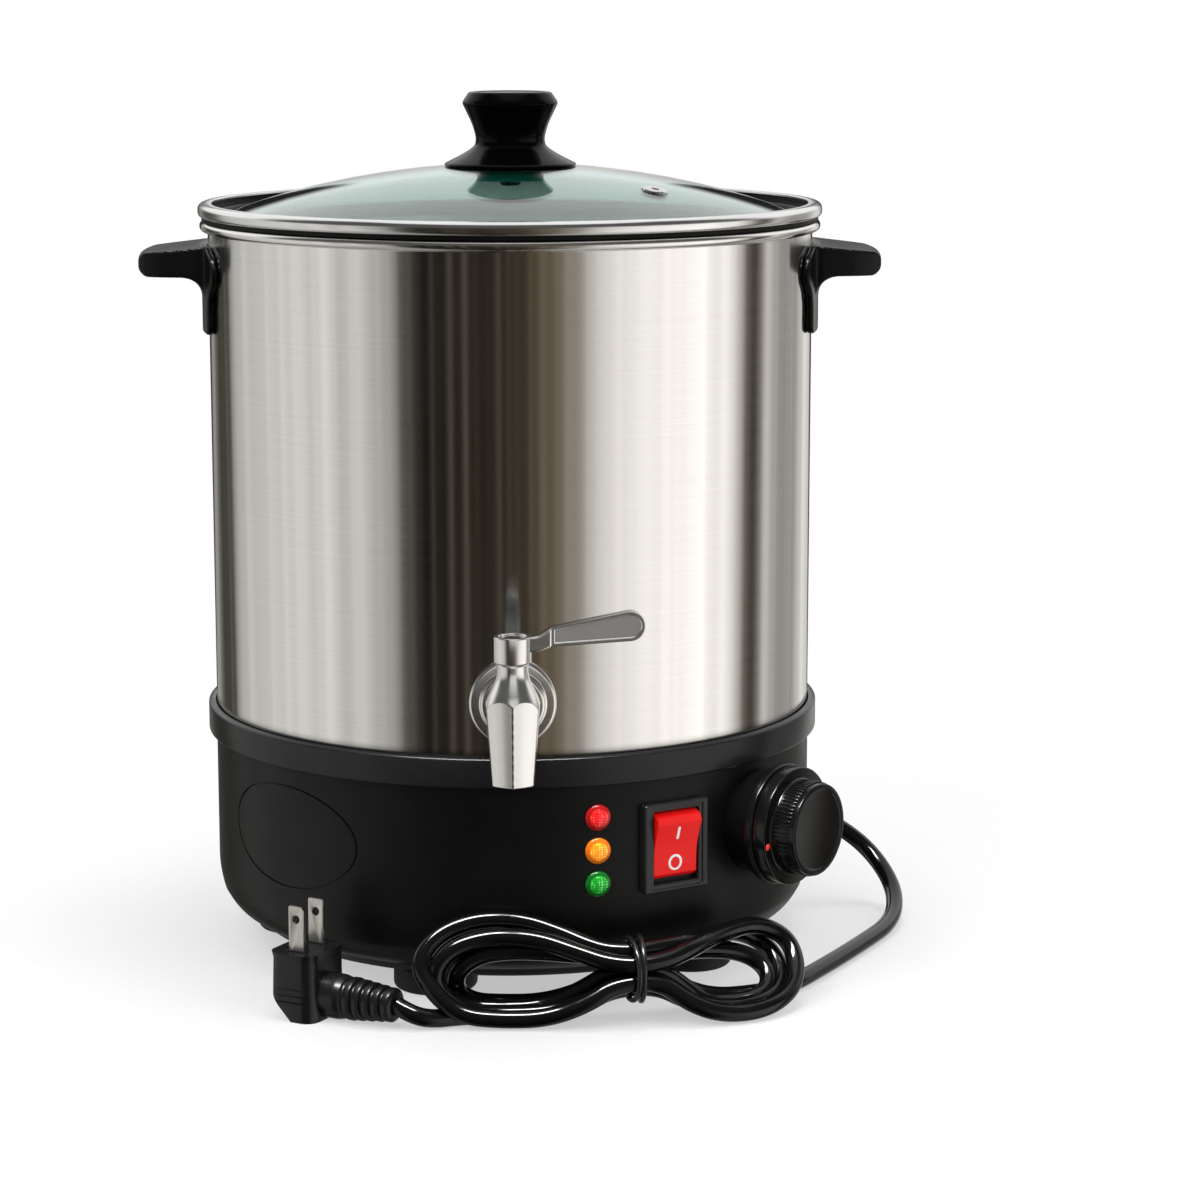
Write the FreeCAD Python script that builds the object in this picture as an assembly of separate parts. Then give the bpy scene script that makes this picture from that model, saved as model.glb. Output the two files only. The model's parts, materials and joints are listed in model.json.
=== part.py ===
import FreeCAD, Part
import math
import os

# Candle wax melter: a drawn steel tank on a plastic heater base, with a glass lid and a lever tap.
# Millimetres. The origin is on the floor under the tank's axis, +Z is up and the front faces -Y.
# An azimuth is measured about the tank's axis, from the front towards +X.

V = FreeCAD.Vector
UP = V(0, 0, 1)

# Feet and bottom cover
foot_height = 9.0
foot_radius = 15.5
foot_inset = 29.7  # of the circle on which the feet stand, from the housing's wall
foot_count = 5
foot_azimuth = -20.0  # of the first foot
foot_recess_radius = 5.5
foot_recess_depth = 4.0
cover_thickness = 3.0
cover_lap = 3.5  # of the cover over the housing's lower opening
spigot_height = 5.0
spigot_wall = 3.0
vent_count = 16
vent_width = 3.2
vent_inner = 34.0
vent_outer = 56.0
cover_screw_radius = 2.0
cover_screw_length = 20.0

# Base housing
housing_height = 78.0
housing_step = 0.2  # of the housing's wall outside the tank's
housing_wall = 3.0
housing_round = 18.9  # radius of the turned-in lower edge
housing_tuck = 13.2  # of the lower edge in from the wall
opening_inset = 18.2
ledge_inset = 14.2
ledge_thickness = 3.0
boss_radius = 5.0
boss_height = 16.0
rib_thickness = 3.0
oval_azimuth = -47.0
oval_width = 68.7
oval_height = 38.7
oval_drop = 33.1  # from the tank seat down to the oval's centre
oval_line = 0.6
oval_depth = 0.5

# Collar round the foot of the tank
collar_thickness = 2.8
collar_drop = 7.0
collar_rise = 4.0
collar_gap = 0.4

# Tank
tank_radius = 114.0
tank_wall = 0.8
tank_height = 186.9
tank_corner = 4.0
bead_radius = 1.9

# Lid
dome_radius = 328.0
glass_seat = 1.24705  # of the glass's upper edge above the tank's rim
glass_thickness = 3.6
glass_inset = 3.0  # of the glass's edge from the tank's wall
lid_gap = 0.1
gasket_inset = 7.5
gasket_play = 0.5  # round the lip that drops into the tank
gasket_drop = 4.2
gasket_flange = 1.4
gasket_lip_inset = 5.5
band_overhang = 3.6  # of the band outside the tank's wall
band_height = 5.0
band_width = 5.2
band_metal = 0.8
vent_x = 52.6
vent_y = -47.0
vent_radius = 2.6
eyelet_radius = 5.0
eyelet_bore = 1.6
eyelet_flange = 0.9

# Lid knob
knob_flange_radius = 24.9
knob_neck_radius = 12.7
knob_head_radius = 17.9
knob_top_radius = 15.4
knob_neck_rise = 7.4
knob_head_rise = 22.4
knob_height = 26.8
washer_top_radius = 12.9
washer_foot_radius = 15.7
washer_height = 3.4
knob_screw_radius = 2.0
knob_screw_length = 20.0
knob_screw_head = 4.0

# Side handles
handle_top_drop = 8.9  # from the tank's rim
handle_length = 26.0
grip_thickness = 9.8
grip_slope = 3.4
grip_root_half = 31.0
grip_end_half = 26.5
grip_edge_round = 2.6
grip_root_round = 9.2
pad_thickness = 2.4
pad_height = 34.6
pad_half = 38.6
leg_half = 30.8
handle_screw_radius = 2.0
handle_screw_length = 17.0
handle_screw_head = 4.0
handle_screw_head_height = 2.2
handle_screw_slot = 0.9
handle_screw_slot_depth = 1.0
handle_screw_turn = 7.2  # azimuth each side of the handle's middle
handle_screw_drop = 17.4

# Heating stack under the tank
plate_radius = 78.0
plate_thickness = 6.0
element_ring = 55.0
element_radius = 4.0
element_leg = 26.0
element_gap_turn = 44.0
element_bend = 9.0
shield_radius = 82.0
shield_metal = 0.6
shield_rim = 3.0
sleeve_length = 11.4
sleeve_radius = 5.5
bar_metal = 2.0
bar_width = 20.0
bar_drop = 15.0
bar_shoulder = 16.0  # of the flat middle short of the housing's ledge
bar_hook = 8.4  # of the ends under the ledge
stud_radius = 3.0
stud_length = 31.0
stud_washer = 1.2
stud_nut_height = 5.0
stud_nut_flats = 10.0
earth_tag_metal = 0.8
cutout_radius = 8.5
cutout_height = 6.0
cutout_place = 30.0
bulb_radius = 3.0
bulb_length = 60.0
bulb_offset = -25.0
capillary_radius = 0.8

# Tap
tap_rise = 24.0  # of the outlet above the tank seat
tap_length = 36.0  # of the spout's axis from the tank's wall
flange_radius = 15.5
flange_thickness = 2.6
flange_shoulder = 11.5
flange_shoulder_height = 2.8
shank_radius = 7.9
shank_inside = 9.2
shank_bore = 3.5
tap_washer_radius = 12.0
tap_washer_thickness = 2.4
tap_nut_flats = 22.0
tap_nut_height = 4.8
barrel_radius = 9.4
spout_drop = 21.1
spout_shoulder = 9.9
spout_tip = 7.9
spout_flats_top = 17.9
spout_flats_tip = 14.5
spout_bore = 4.6
spout_bore_length = 13.0
neck_radius = 5.5
neck_rise = 21.4
plug_radius = 4.2
plug_play = 0.05
plug_port = 3.0
stem_radius = 3.0
hub_radius = 6.45
hub_height = 9.3
hub_gap = 0.2
hub_wall = 1.5
hub_recess = 2.3
lever_length = 45.3
lever_root = 13.1  # where the flat paddle begins, from the hub's axis
lever_root_low = 5.7
lever_root_high = 12.5
lever_end_low = 7.3
lever_end_high = 18.0
lever_thickness = 3.8
lever_arm_thickness = 5.0
lever_inset = 0.4
lever_screw_radius = 1.5
lever_screw_head = 3.6

# Control row
row_drop = 31.3  # from the tank seat down to the middle lamp
lamp_azimuth = 15.3
lamp_pitch = 12.25
lamp_lens_radius = 4.75
lamp_stem_radius = 3.9
lamp_body_radius = 4.6
lamp_body_length = 12.0
lamp_stem_length = 6.0
lamp_flange = 1.3
lamp_tab_length = 5.0
lamp_tab_width = 2.8
lamp_tab_pitch = 4.4
hole_play = 0.1
switch_azimuth = 30.3
switch_drop = 32.2
bezel_width = 27.0
bezel_height = 32.8
bezel_stand = 2.8  # of the bezel's face from the wall
switch_body_width = 22.0
switch_body_height = 29.0
switch_body_depth = 24.0
rocker_width = 18.6
rocker_swing = 13.3  # radius of the rocker's ends about its pin
rocker_tilt = 10.5
rocker_play = 0.35
rocker_pin_radius = 1.0
rocker_pin_depth = 2.2
switch_tab_length = 7.0

# Dial and thermostat
dial_azimuth = 52.0
dial_drop = 30.0
plinth_radius = 23.6
plinth_front = 22.2
plinth_height = 12.2
dial_skirt_radius = 21.8
dial_skirt_height = 5.1
dial_hub_radius = 17.4
dial_face_radius = 17.0
dial_height = 14.7
dial_gap = 0.5
shaft_radius = 3.0
shaft_flat = 1.0
bushing_radius = 4.9
thermostat_width = 32.0
thermostat_height = 28.0
thermostat_depth = 21.0
thermostat_nut_flats = 13.0
thermostat_nut_height = 2.8

# Terminal block
block_length = 44.0
block_width = 17.0
block_height = 15.0
block_inset = 18.5  # of the terminal block from the circle of the feet
block_poles = 3

# Mains cord
cord_radius = 3.3
gland_azimuth = 104.0
gland_height = 34.0
gland_body_radius = 6.4
gland_flange_radius = 8.6
gland_length = 15.8
gland_tip_radius = 4.6
lead_route = [
    (136.5, 32.5, 27.5), (146, 27, 18.5), (151, 15, 10.5), (150, -1, 5.5), (144.5, -17.5, 3.5), (135, -36, 3.5),
    (123.5, -57, 3.5), (113, -75, 3.5), (105.5, -87.5, 3.5), (99, -99, 3.6), (92.5, -109.5, 5.5),
]
tie_place = (43, -126, 19.5)
tie_aim = (0.98, 0.2, 0)
tie_radius = 10.4
tie_length = 12.0
tie_wire = 1.0
tie_pitch = 3.4
left_lobe = [
    (39, -126, 25.8), (27, -123.5, 26.8), (10, -121, 30), (-8, -119.5, 31.5), (-21, -121.5, 28.5), (-30.5, -126, 19),
    (-22.5, -130, 8.8), (-9, -129, 6.6), (8, -128, 6.6), (26, -128, 9.0), (39, -127, 13.2),
]
right_lobe = [
    (47, -125, 25.8), (57, -118.5, 26), (71, -106, 25), (84, -96.5, 22.5), (96, -97, 17), (99, -106, 10.5),
    (92.5, -117, 6.8), (79.5, -122.5, 6.4), (66, -125, 7), (56, -127, 9.2), (47, -127, 13.2),
]
strand_bundle = 5.8
tail_route = [(-37.5, -133.8, 6.2), (-31, -133.6, 3.7), (-21, -131.3, 3.6), (-11, -129.8, 4.4)]

# Plug
plug_place = (-74, -113)
plug_turn = -30.0
plug_length = 19.0
plug_width = 24.5
plug_height = 24.8
plug_round = 5.0
plug_chamfer = 10.0
plug_lip_drop = 2.4
plug_lip_groove = 0.6
blade_width = 6.35
blade_metal = 1.5
blade_pitch = 12.7
blade_length = 16.5
blade_root = 6.0
blade_hole = 1.5
blade_hole_rise = 11.7
boot_height = 8.3
boot_radius = 8.2
boot_tip_radius = 6.2
boot_length = 28.0
boot_ribs = 5
boot_groove = 1.1

# Radii that follow
housing_radius = tank_radius + housing_step
housing_foot_radius = housing_radius - housing_tuck
housing_opening = housing_radius - opening_inset
ledge_inner = housing_radius - ledge_inset
foot_circle = housing_radius - foot_inset
cover_radius = housing_opening + cover_lap
block_place = foot_circle - block_inset
glass_edge = tank_radius - glass_inset
gasket_inner = tank_radius - gasket_inset
gasket_lip = tank_radius - gasket_lip_inset
band_radius = tank_radius + band_overhang
handle_reach = tank_radius + handle_length
bar_half_length = ledge_inner - bar_shoulder
bar_end = ledge_inner + bar_hook
tap_reach = tank_radius + tap_length
gland_reach = housing_radius + gland_length

# Heights that follow
cover_z = foot_height + cover_thickness
seat_z = cover_z + housing_height
rim_z = seat_z + tank_height
dome_rise = glass_seat + dome_radius - math.sqrt(dome_radius**2 - glass_edge**2)
collar_z = seat_z - collar_drop
lid_z = rim_z + lid_gap
dome_z = rim_z + dome_rise
dome_centre = dome_z - dome_radius
plate_z = seat_z - plate_thickness
shield_z = plate_z - sleeve_length - shield_metal
tap_z = seat_z + tap_rise
row_z = seat_z - row_drop
inner_radius = tank_radius - tank_wall
housing_inner = housing_radius - housing_wall
collar_inner = housing_radius - 1.7


def outline(start, *steps):
    # A flat face in the XY plane. A step of two numbers is a line's end, and one of four is an arc's middle and end.
    here, edges = V(start[0], start[1], 0), []
    for step in steps + (start,):
        end = V(step[-2], step[-1], 0)
        if len(step) == 4:
            edges.append(Part.Arc(here, V(step[0], step[1], 0), end).toShape())
        elif (end - here).Length > 1e-6:
            edges.append(Part.LineSegment(here, end).toShape())
        here = end
    return Part.Face(Part.Wire(edges))


def turned(start, *steps):
    # Points are radius and height.
    face = outline(start, *steps)
    face.rotate(V(0, 0, 0), V(1, 0, 0), 90)
    return face.revolve(V(0, 0, 0), UP, 360)


def plate(face, low, high):
    return face.translated(V(0, 0, low)).extrude(V(0, 0, high - low))


def rod(radius, low, high, x=0.0, y=0.0):
    return Part.makeCylinder(radius, high - low, V(x, y, low))


def tube(outer, inner, low, high):
    return rod(outer, low, high).cut(rod(inner, low, high))


def block(width, depth, low, high):
    return Part.makeBox(width, depth, high - low, V(-width / 2, -depth / 2, low))


def hexagon(flats, low, high, turn=0.0):
    corner = flats / math.sqrt(3)
    corners = [
        (corner * math.cos(math.radians(60 * i + turn)), corner * math.sin(math.radians(60 * i + turn)))
        for i in range(6)
    ]
    return plate(outline(*corners), low, high)


def facing(shape, azimuth, height=0.0):
    # Local z becomes the distance out from the tank's axis, x is to the right and y is up.
    turn = FreeCAD.Rotation(UP, azimuth).multiply(FreeCAD.Rotation(V(1, 0, 0), 90))
    moved = shape.copy()
    moved.Placement = FreeCAD.Placement(V(0, 0, height), turn).multiply(moved.Placement)
    return moved


def at(azimuth, radius, height=0.0):
    a = math.radians(azimuth)
    return V(radius * math.sin(a), -radius * math.cos(a), height)


def joined(*shapes):
    whole = shapes[0]
    for shape in shapes[1:]:
        whole = whole.fuse(shape)
    return whole.removeSplitter()


def group(shapes):
    return Part.makeCompound(shapes)


def rounded_path(points):
    # Straight runs joined by the largest tangent arcs that the runs allow. Returns the wire and the arcs' radii.
    points = [V(*p) for p in points]
    edges, radii, here = [], [], points[0]
    for before, corner, after in zip(points, points[1:], points[2:]):
        back, ahead = before - corner, after - corner
        half_turn = (math.pi - back.getAngle(ahead)) / 2
        reach = 0.45 * min(back.Length, ahead.Length)
        radius = reach / math.tan(half_turn)
        back.normalize()
        ahead.normalize()
        inward = (back + ahead).normalize()
        first, last = corner + back * reach, corner + ahead * reach
        middle = corner + inward * (radius / math.cos(half_turn) - radius)
        edges.append(Part.LineSegment(here, first).toShape())
        edges.append(Part.Arc(first, middle, last).toShape())
        radii.append(radius)
        here = last
    edges.append(Part.LineSegment(here, points[-1]).toShape())
    return Part.Wire(edges), radii


def swept(points, radius, name):
    path, radii = rounded_path(points)
    section = Part.Wire(Part.makeCircle(radius, V(*points[0]), V(*points[1]) - V(*points[0])))
    solid = path.makePipeShell([section], True, False)
    share = solid.Volume / (math.pi * radius**2 * path.Length)
    print(f"{name}: length {path.Length:.1f}, volume {share:.3f} of section times length")
    print("  radii", " ".join(f"{r:.0f}" for r in radii))
    return solid


def round_edges(shape, radius, chosen):
    edges = [e for e in shape.Edges if chosen(e)]
    return shape.makeFillet(radius, edges)


def foot_azimuths():
    return [foot_azimuth + 360.0 * i / foot_count for i in range(foot_count)]


# Feet, cover and base housing


def feet():
    pads = []
    for azimuth in foot_azimuths():
        place = at(azimuth, foot_circle)
        pad = turned(
            (0, 0), (foot_radius - 2.5, 0), (foot_radius - 0.8, 0.8, foot_radius, 2.5), (foot_radius, foot_height),
            (0, foot_height),
        )
        pad = pad.cut(rod(foot_recess_radius, 0, foot_recess_depth))
        pad = pad.cut(rod(cover_screw_radius + hole_play, 0, foot_height))
        pads.append(pad.translated(place))
    return group(pads)


def cover_screws():
    screws = []
    head = 2.4
    for azimuth in foot_azimuths():
        low = foot_recess_depth - head
        screw = turned(
            (0, low), (2.6, low), (3.6, low + 0.5, 4.0, low + 1.4), (4.0, foot_recess_depth),
            (cover_screw_radius, foot_recess_depth),
            (cover_screw_radius, foot_recess_depth + cover_screw_length - 1),
            (cover_screw_radius - 0.8, foot_recess_depth + cover_screw_length),
            (0, foot_recess_depth + cover_screw_length),
        )
        cross = block(4.4, 0.9, low, low + 1.2).fuse(block(0.9, 4.4, low, low + 1.2))
        screws.append(screw.cut(cross).translated(at(azimuth, foot_circle)))
    return group(screws)


def bottom_cover():
    spigot = housing_opening - 0.3
    cover = turned(
        (0, foot_height), (cover_radius - 1, foot_height), (cover_radius, foot_height + 1), (cover_radius, cover_z),
        (spigot, cover_z), (spigot, cover_z + spigot_height), (spigot - spigot_wall, cover_z + spigot_height),
        (spigot - spigot_wall, cover_z), (0, cover_z),
    )
    for azimuth in foot_azimuths():
        hole = rod(cover_screw_radius + hole_play, foot_height, cover_z)
        cover = cover.cut(hole.translated(at(azimuth, foot_circle)))
    slots = []
    half = vent_width / 2
    for i in range(vent_count):
        slot = outline(
            (-half, vent_inner), (0, vent_inner - half, half, vent_inner), (half, vent_outer),
            (0, vent_outer + half, -half, vent_outer),
        )
        slots.append(plate(slot, foot_height, cover_z).rotated(V(0, 0, 0), UP, 360.0 * i / vent_count))
    return cover.cut(group(slots))


def housing_arc(radius, level):
    # The arc's end at a given radius from the tank's axis, and its middle, for the outer or the inner skin.
    centre_r = housing_radius - housing_round
    centre_z = cover_z + math.sqrt(housing_round**2 - (housing_foot_radius - centre_r) ** 2)
    low = math.asin((level - centre_r) / radius)
    middle = (low + math.pi / 2) / 2
    return (
        (level, centre_z - radius * math.cos(low)),
        (centre_r + radius * math.sin(middle), centre_z - radius * math.cos(middle)),
        centre_z,
    )


def housing_body():
    # The outer form, filled in.
    foot, middle, top = housing_arc(housing_round, housing_foot_radius)
    return turned(
        (0, cover_z), foot, (middle[0], middle[1], housing_radius, top), (housing_radius, collar_z),
        (collar_inner, collar_z), (collar_inner, seat_z), (0, seat_z),
    )


def housing_hollow():
    foot, middle, top = housing_arc(housing_round - housing_wall, housing_opening)
    neck = collar_inner - housing_wall
    return turned(
        (0, cover_z), (housing_opening, cover_z), foot, (middle[0], middle[1], housing_inner, top),
        (housing_inner, collar_z - 2), (neck, collar_z), (neck, seat_z - ledge_thickness),
        (ledge_inner, seat_z - ledge_thickness), (ledge_inner, seat_z), (0, seat_z),
    )


def oval_groove():
    def ring(grow):
        edge = Part.Ellipse(V(0, 0, 0), oval_width / 2 + grow, oval_height / 2 + grow).toShape()
        return plate(Part.Face(Part.Wire(edge)), housing_radius / 2, housing_radius * 1.1)

    ring_wall = ring(0).cut(ring(-oval_line))
    skin = tube(housing_radius * 1.05, housing_radius - oval_depth, cover_z, seat_z)
    return facing(ring_wall, oval_azimuth, seat_z - oval_drop).common(skin)


def lamp_heights():
    return [row_z + lamp_pitch * i for i in (1, 0, -1)]


def base_housing():
    body = housing_body()
    shell = body.cut(housing_hollow())
    for azimuth in foot_azimuths():
        boss = rod(boss_radius, cover_z, cover_z + boss_height).fuse(wall_rib())
        post = boss.cut(rod(cover_screw_radius + 0.05, cover_z, cover_z + boss_height - 2))
        post = post.translated(V(0, -foot_circle, 0)).rotated(V(0, 0, 0), UP, azimuth)
        shell = shell.fuse(post.common(body))
    shell = shell.cut(oval_groove())
    wall = (housing_inner - 12, housing_radius + 5)
    for height in lamp_heights():
        shell = shell.cut(facing(rod(lamp_stem_radius + hole_play, *wall), lamp_azimuth, height))
    opening = block(switch_body_width + 2 * hole_play, switch_body_height + 2 * hole_play, *wall)
    shell = shell.cut(facing(opening, switch_azimuth, seat_z - switch_drop))
    shell = shell.cut(facing(rod(bushing_radius + hole_play, *wall), dial_azimuth, seat_z - dial_drop))
    shell = shell.cut(facing(rod(gland_body_radius + hole_play, *wall), gland_azimuth, gland_height))
    return shell


def wall_rib():
    # From a screw boss out to the housing's wall, in the boss's own place.
    reach = housing_radius - foot_circle
    low = spigot_height + 0.5
    return Part.makeBox(rib_thickness, reach, boss_height - low, V(-rib_thickness / 2, -reach, cover_z + low))


def collar_ring():
    outer = collar_inner + 0.1 + collar_thickness + 1.7
    bore = collar_inner + 0.1
    top = seat_z + collar_rise
    mouth = tank_radius + collar_gap
    return turned(
        (bore, collar_z), (outer - 0.8, collar_z), (outer - 0.2, collar_z + 0.2, outer, collar_z + 0.8),
        (outer, top - 1.2), (outer - 0.35, top - 0.35, outer - 1.2, top), (mouth, top), (mouth, seat_z),
        (bore, seat_z),
    )


# Tank and heating stack


def tank():
    middle = math.sqrt(0.5)
    corner_inner = tank_corner - tank_wall
    bead_z = rim_z - bead_radius
    bead_r = inner_radius + bead_radius
    low = bead_z - bead_radius
    shell = turned(
        (0, seat_z), (tank_radius - tank_corner, seat_z),
        (
            tank_radius - tank_corner * (1 - middle), seat_z + tank_corner * (1 - middle),
            tank_radius, seat_z + tank_corner,
        ),
        (tank_radius, low), (bead_r, low),
        (bead_r + bead_radius * middle, bead_z - bead_radius * middle, bead_r + bead_radius, bead_z),
        (bead_r, rim_z, inner_radius, bead_z),
        (inner_radius, seat_z + tank_corner),
        (
            inner_radius - corner_inner * (1 - middle), seat_z + tank_wall + corner_inner * (1 - middle),
            inner_radius - corner_inner, seat_z + tank_wall,
        ),
        (0, seat_z + tank_wall),
    )
    wall = (inner_radius - 5, tank_radius + 5)
    shell = shell.cut(facing(rod(shank_radius + hole_play, *wall), 0, tap_z))
    for azimuth in handle_screw_azimuths():
        shell = shell.cut(facing(rod(handle_screw_radius + hole_play, *wall), azimuth, handle_screw_z()))
    return shell


def heating_plate():
    disc = rod(plate_radius, plate_z, seat_z).cut(rod(stud_radius + hole_play, plate_z, seat_z))
    groove = Part.makeTorus(element_ring, element_radius + 0.05, V(0, 0, plate_z))
    return disc.cut(groove)


def heating_element():
    # A ring open at the back, whose ends turn down to the terminals.
    gap = math.radians(element_gap_turn / 2)
    start = V(element_ring * math.sin(gap), element_ring * math.cos(gap), plate_z)
    legs = []
    for side in (1, -1):
        end = V(side * start.x, start.y, start.z)
        along = V(-side * math.cos(gap), math.sin(gap), 0)
        bottom = end + along * element_bend - UP * element_bend
        middle = end + along * (element_bend * math.sqrt(0.5)) - UP * (element_bend * (1 - math.sqrt(0.5)))
        legs.append((end, middle, bottom, bottom - UP * (element_leg - element_bend)))
    ring = Part.Arc(legs[0][0], V(0, -element_ring, plate_z), legs[1][0]).toShape()
    first, second = legs
    wire = Part.Wire([
        Part.LineSegment(first[3], first[2]).toShape(), Part.Arc(first[2], first[1], first[0]).toShape(), ring,
        Part.Arc(second[0], second[1], second[2]).toShape(), Part.LineSegment(second[2], second[3]).toShape(),
    ])
    section = Part.Wire(Part.makeCircle(element_radius, first[3], UP))
    pins = [rod(1.6, leg[3].z - 7, leg[3].z, leg[3].x, leg[3].y) for leg in legs]
    return joined(wire.makePipeShell([section], True, False), *pins)


def element_legs():
    # Where the two legs go down, seen from above.
    gap = math.radians(element_gap_turn / 2)
    x = element_ring * math.sin(gap) - element_bend * math.cos(gap)
    y = element_ring * math.cos(gap) + element_bend * math.sin(gap)
    return [(x, y), (-x, y)]


def heat_shield():
    top = shield_z + shield_metal
    dish = turned(
        (0, shield_z), (shield_radius, shield_z), (shield_radius, shield_z + shield_rim),
        (shield_radius - shield_metal, shield_z + shield_rim), (shield_radius - shield_metal, top), (0, top),
    )
    dish = dish.cut(rod(stud_radius + hole_play, shield_z, top))
    for x, y in element_legs():
        dish = dish.cut(rod(element_radius + 1.5, shield_z, top, x, y))
    return dish


def spacer_sleeve():
    return tube(sleeve_radius, stud_radius + hole_play, shield_z + shield_metal, plate_z)


def clamp_bar():
    # Hooks under the housing's ledge at both ends, so that the stud's nut pulls the tank down on it.
    ledge = seat_z - ledge_thickness
    low = shield_z - bar_metal
    face = outline(
        (-bar_half_length, low), (bar_half_length, low), (bar_end - 8, ledge - bar_metal), (bar_end, ledge - bar_metal),
        (bar_end, ledge), (bar_end - 9, ledge), (bar_half_length - 1, shield_z), (1 - bar_half_length, shield_z),
        (9 - bar_end, ledge), (-bar_end, ledge), (-bar_end, ledge - bar_metal), (8 - bar_end, ledge - bar_metal),
    )
    face.rotate(V(0, 0, 0), V(1, 0, 0), 90)
    bar = face.translated(V(0, bar_width / 2, 0)).extrude(V(0, -bar_width, 0))
    return bar.cut(rod(stud_radius + hole_play, low, shield_z))


def tank_stud():
    low = seat_z - stud_length
    return turned(
        (0, low), (stud_radius - 0.6, low), (stud_radius, low + 0.6), (stud_radius, seat_z), (0, seat_z),
    )


def washer_z():
    return shield_z - bar_metal - stud_washer


def stud_washer_ring():
    return tube(8.0, stud_radius + hole_play, washer_z(), washer_z() + stud_washer)


def earth_tag():
    low = washer_z() - earth_tag_metal
    ring = rod(6.0, low, washer_z())
    tab = Part.makeBox(6.3, 17, earth_tag_metal, V(-3.15, 0, low))
    return ring.fuse(tab).cut(rod(stud_radius + hole_play, low, washer_z())).removeSplitter()


def stud_nut():
    top = washer_z() - earth_tag_metal
    return hexagon(stud_nut_flats, top - stud_nut_height, top).cut(
        rod(stud_radius + hole_play, top - stud_nut_height, top)
    )


def thermal_cutout():
    place = at(235, cutout_place)
    low = plate_z - cutout_height
    can = turned(
        (0, low), (cutout_radius - 1, low), (cutout_radius, low + 1), (cutout_radius, plate_z - 2),
        (cutout_radius - 1.5, plate_z - 2), (cutout_radius - 1.5, plate_z), (0, plate_z),
    )
    tabs = [
        Part.makeBox(7, 4.8, 0.8, V(side * (cutout_radius + 2.5) - 3.5, -2.4, low + 1.6)) for side in (-1, 1)
    ]
    return joined(can, *tabs).translated(place)


def sensing_bulb():
    z = plate_z - bulb_radius
    bulb = Part.makeCylinder(bulb_radius, bulb_length, V(-bulb_length / 2, bulb_offset, z), V(1, 0, 0))
    x = bulb_length / 2
    body = at(dial_azimuth, thermostat_front() - thermostat_depth * 0.55, thermostat_top())
    route = [
        (x, bulb_offset, z), (x + 8, bulb_offset - 3, z - 2.5), (body.x - 10, body.y + 8, z - 2.8),
        (body.x - 1, body.y + 1, z - 3.2), (body.x, body.y, body.z),
    ]
    return joined(bulb, swept(route, capillary_radius, "capillary"))


# Lid


def glass_top(r):
    return dome_centre + math.sqrt(dome_radius**2 - r**2)


def glass_under(r):
    return dome_centre + math.sqrt((dome_radius - glass_thickness) ** 2 - r**2)


def lid_glass():
    hole = knob_screw_radius + 0.6
    middle = (hole + glass_edge) / 2
    glass = turned(
        (hole, glass_top(hole)), (middle, glass_top(middle), glass_edge, glass_top(glass_edge)),
        (glass_edge, glass_under(glass_edge)), (middle, glass_under(middle), hole, glass_under(hole)),
    )
    return glass.cut(on_dome(rod(vent_radius, -2 * glass_thickness, glass_thickness)))


def on_dome(shape):
    # Puts a shape made about the origin on the dome at the steam vent, square to the glass.
    foot = V(vent_x, vent_y, 0)
    place = V(vent_x, vent_y, glass_top(foot.Length))
    normal = place - V(0, 0, dome_centre)
    moved = shape.copy()
    moved.Placement = FreeCAD.Placement(place, FreeCAD.Rotation(UP, normal))
    return moved


def vent_eyelet():
    under = -glass_thickness
    flange = eyelet_flange
    return on_dome(turned(
        (eyelet_bore, under - flange), (eyelet_radius - 0.8, under - flange), (eyelet_radius - 0.8, under - 0.05),
        (vent_radius - 0.05, under - 0.05), (vent_radius - 0.05, 0.05), (eyelet_radius, 0.05),
        (eyelet_radius, 0.4), (eyelet_radius - 0.3, flange - 0.1, eyelet_radius - 1.2, flange),
        (eyelet_bore + 0.6, flange), (eyelet_bore + 0.1, flange - 0.2, eyelet_bore, flange - 0.8),
    ))


def band_z():
    return lid_z + gasket_flange


def lid_gasket():
    low = lid_z - gasket_drop
    lip = inner_radius - gasket_play
    flange_top = band_z()
    channel = band_radius - band_metal - 0.1
    core = band_radius - band_width + band_metal
    ceiling = flange_top + band_height - band_metal - 0.1
    middle = (gasket_lip + glass_edge) / 2
    under = (gasket_inner + glass_edge) / 2
    neck = band_radius - 3.2
    return turned(
        (gasket_inner, low), (lip - 0.8, low), (lip, low + 1.2), (lip, lid_z), (band_radius - 1.4, lid_z),
        (band_radius - 1.4, flange_top), (neck, flange_top), (neck, flange_top + band_metal + 0.1),
        (channel - 1.1, flange_top + band_metal + 0.1), (channel, flange_top + band_metal + 1.2),
        (channel, ceiling - 1.5), (channel - 1.5, ceiling), (core, ceiling), (core, glass_top(gasket_lip) + 1.1),
        (gasket_lip + 0.4, glass_top(gasket_lip) + 1.1), (gasket_lip, glass_top(gasket_lip) + 0.6),
        (gasket_lip, glass_top(gasket_lip)), (middle, glass_top(middle), glass_edge, glass_top(glass_edge)),
        (glass_edge, glass_under(glass_edge)), (under, glass_under(under), gasket_inner, glass_under(gasket_inner)),
    )


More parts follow.
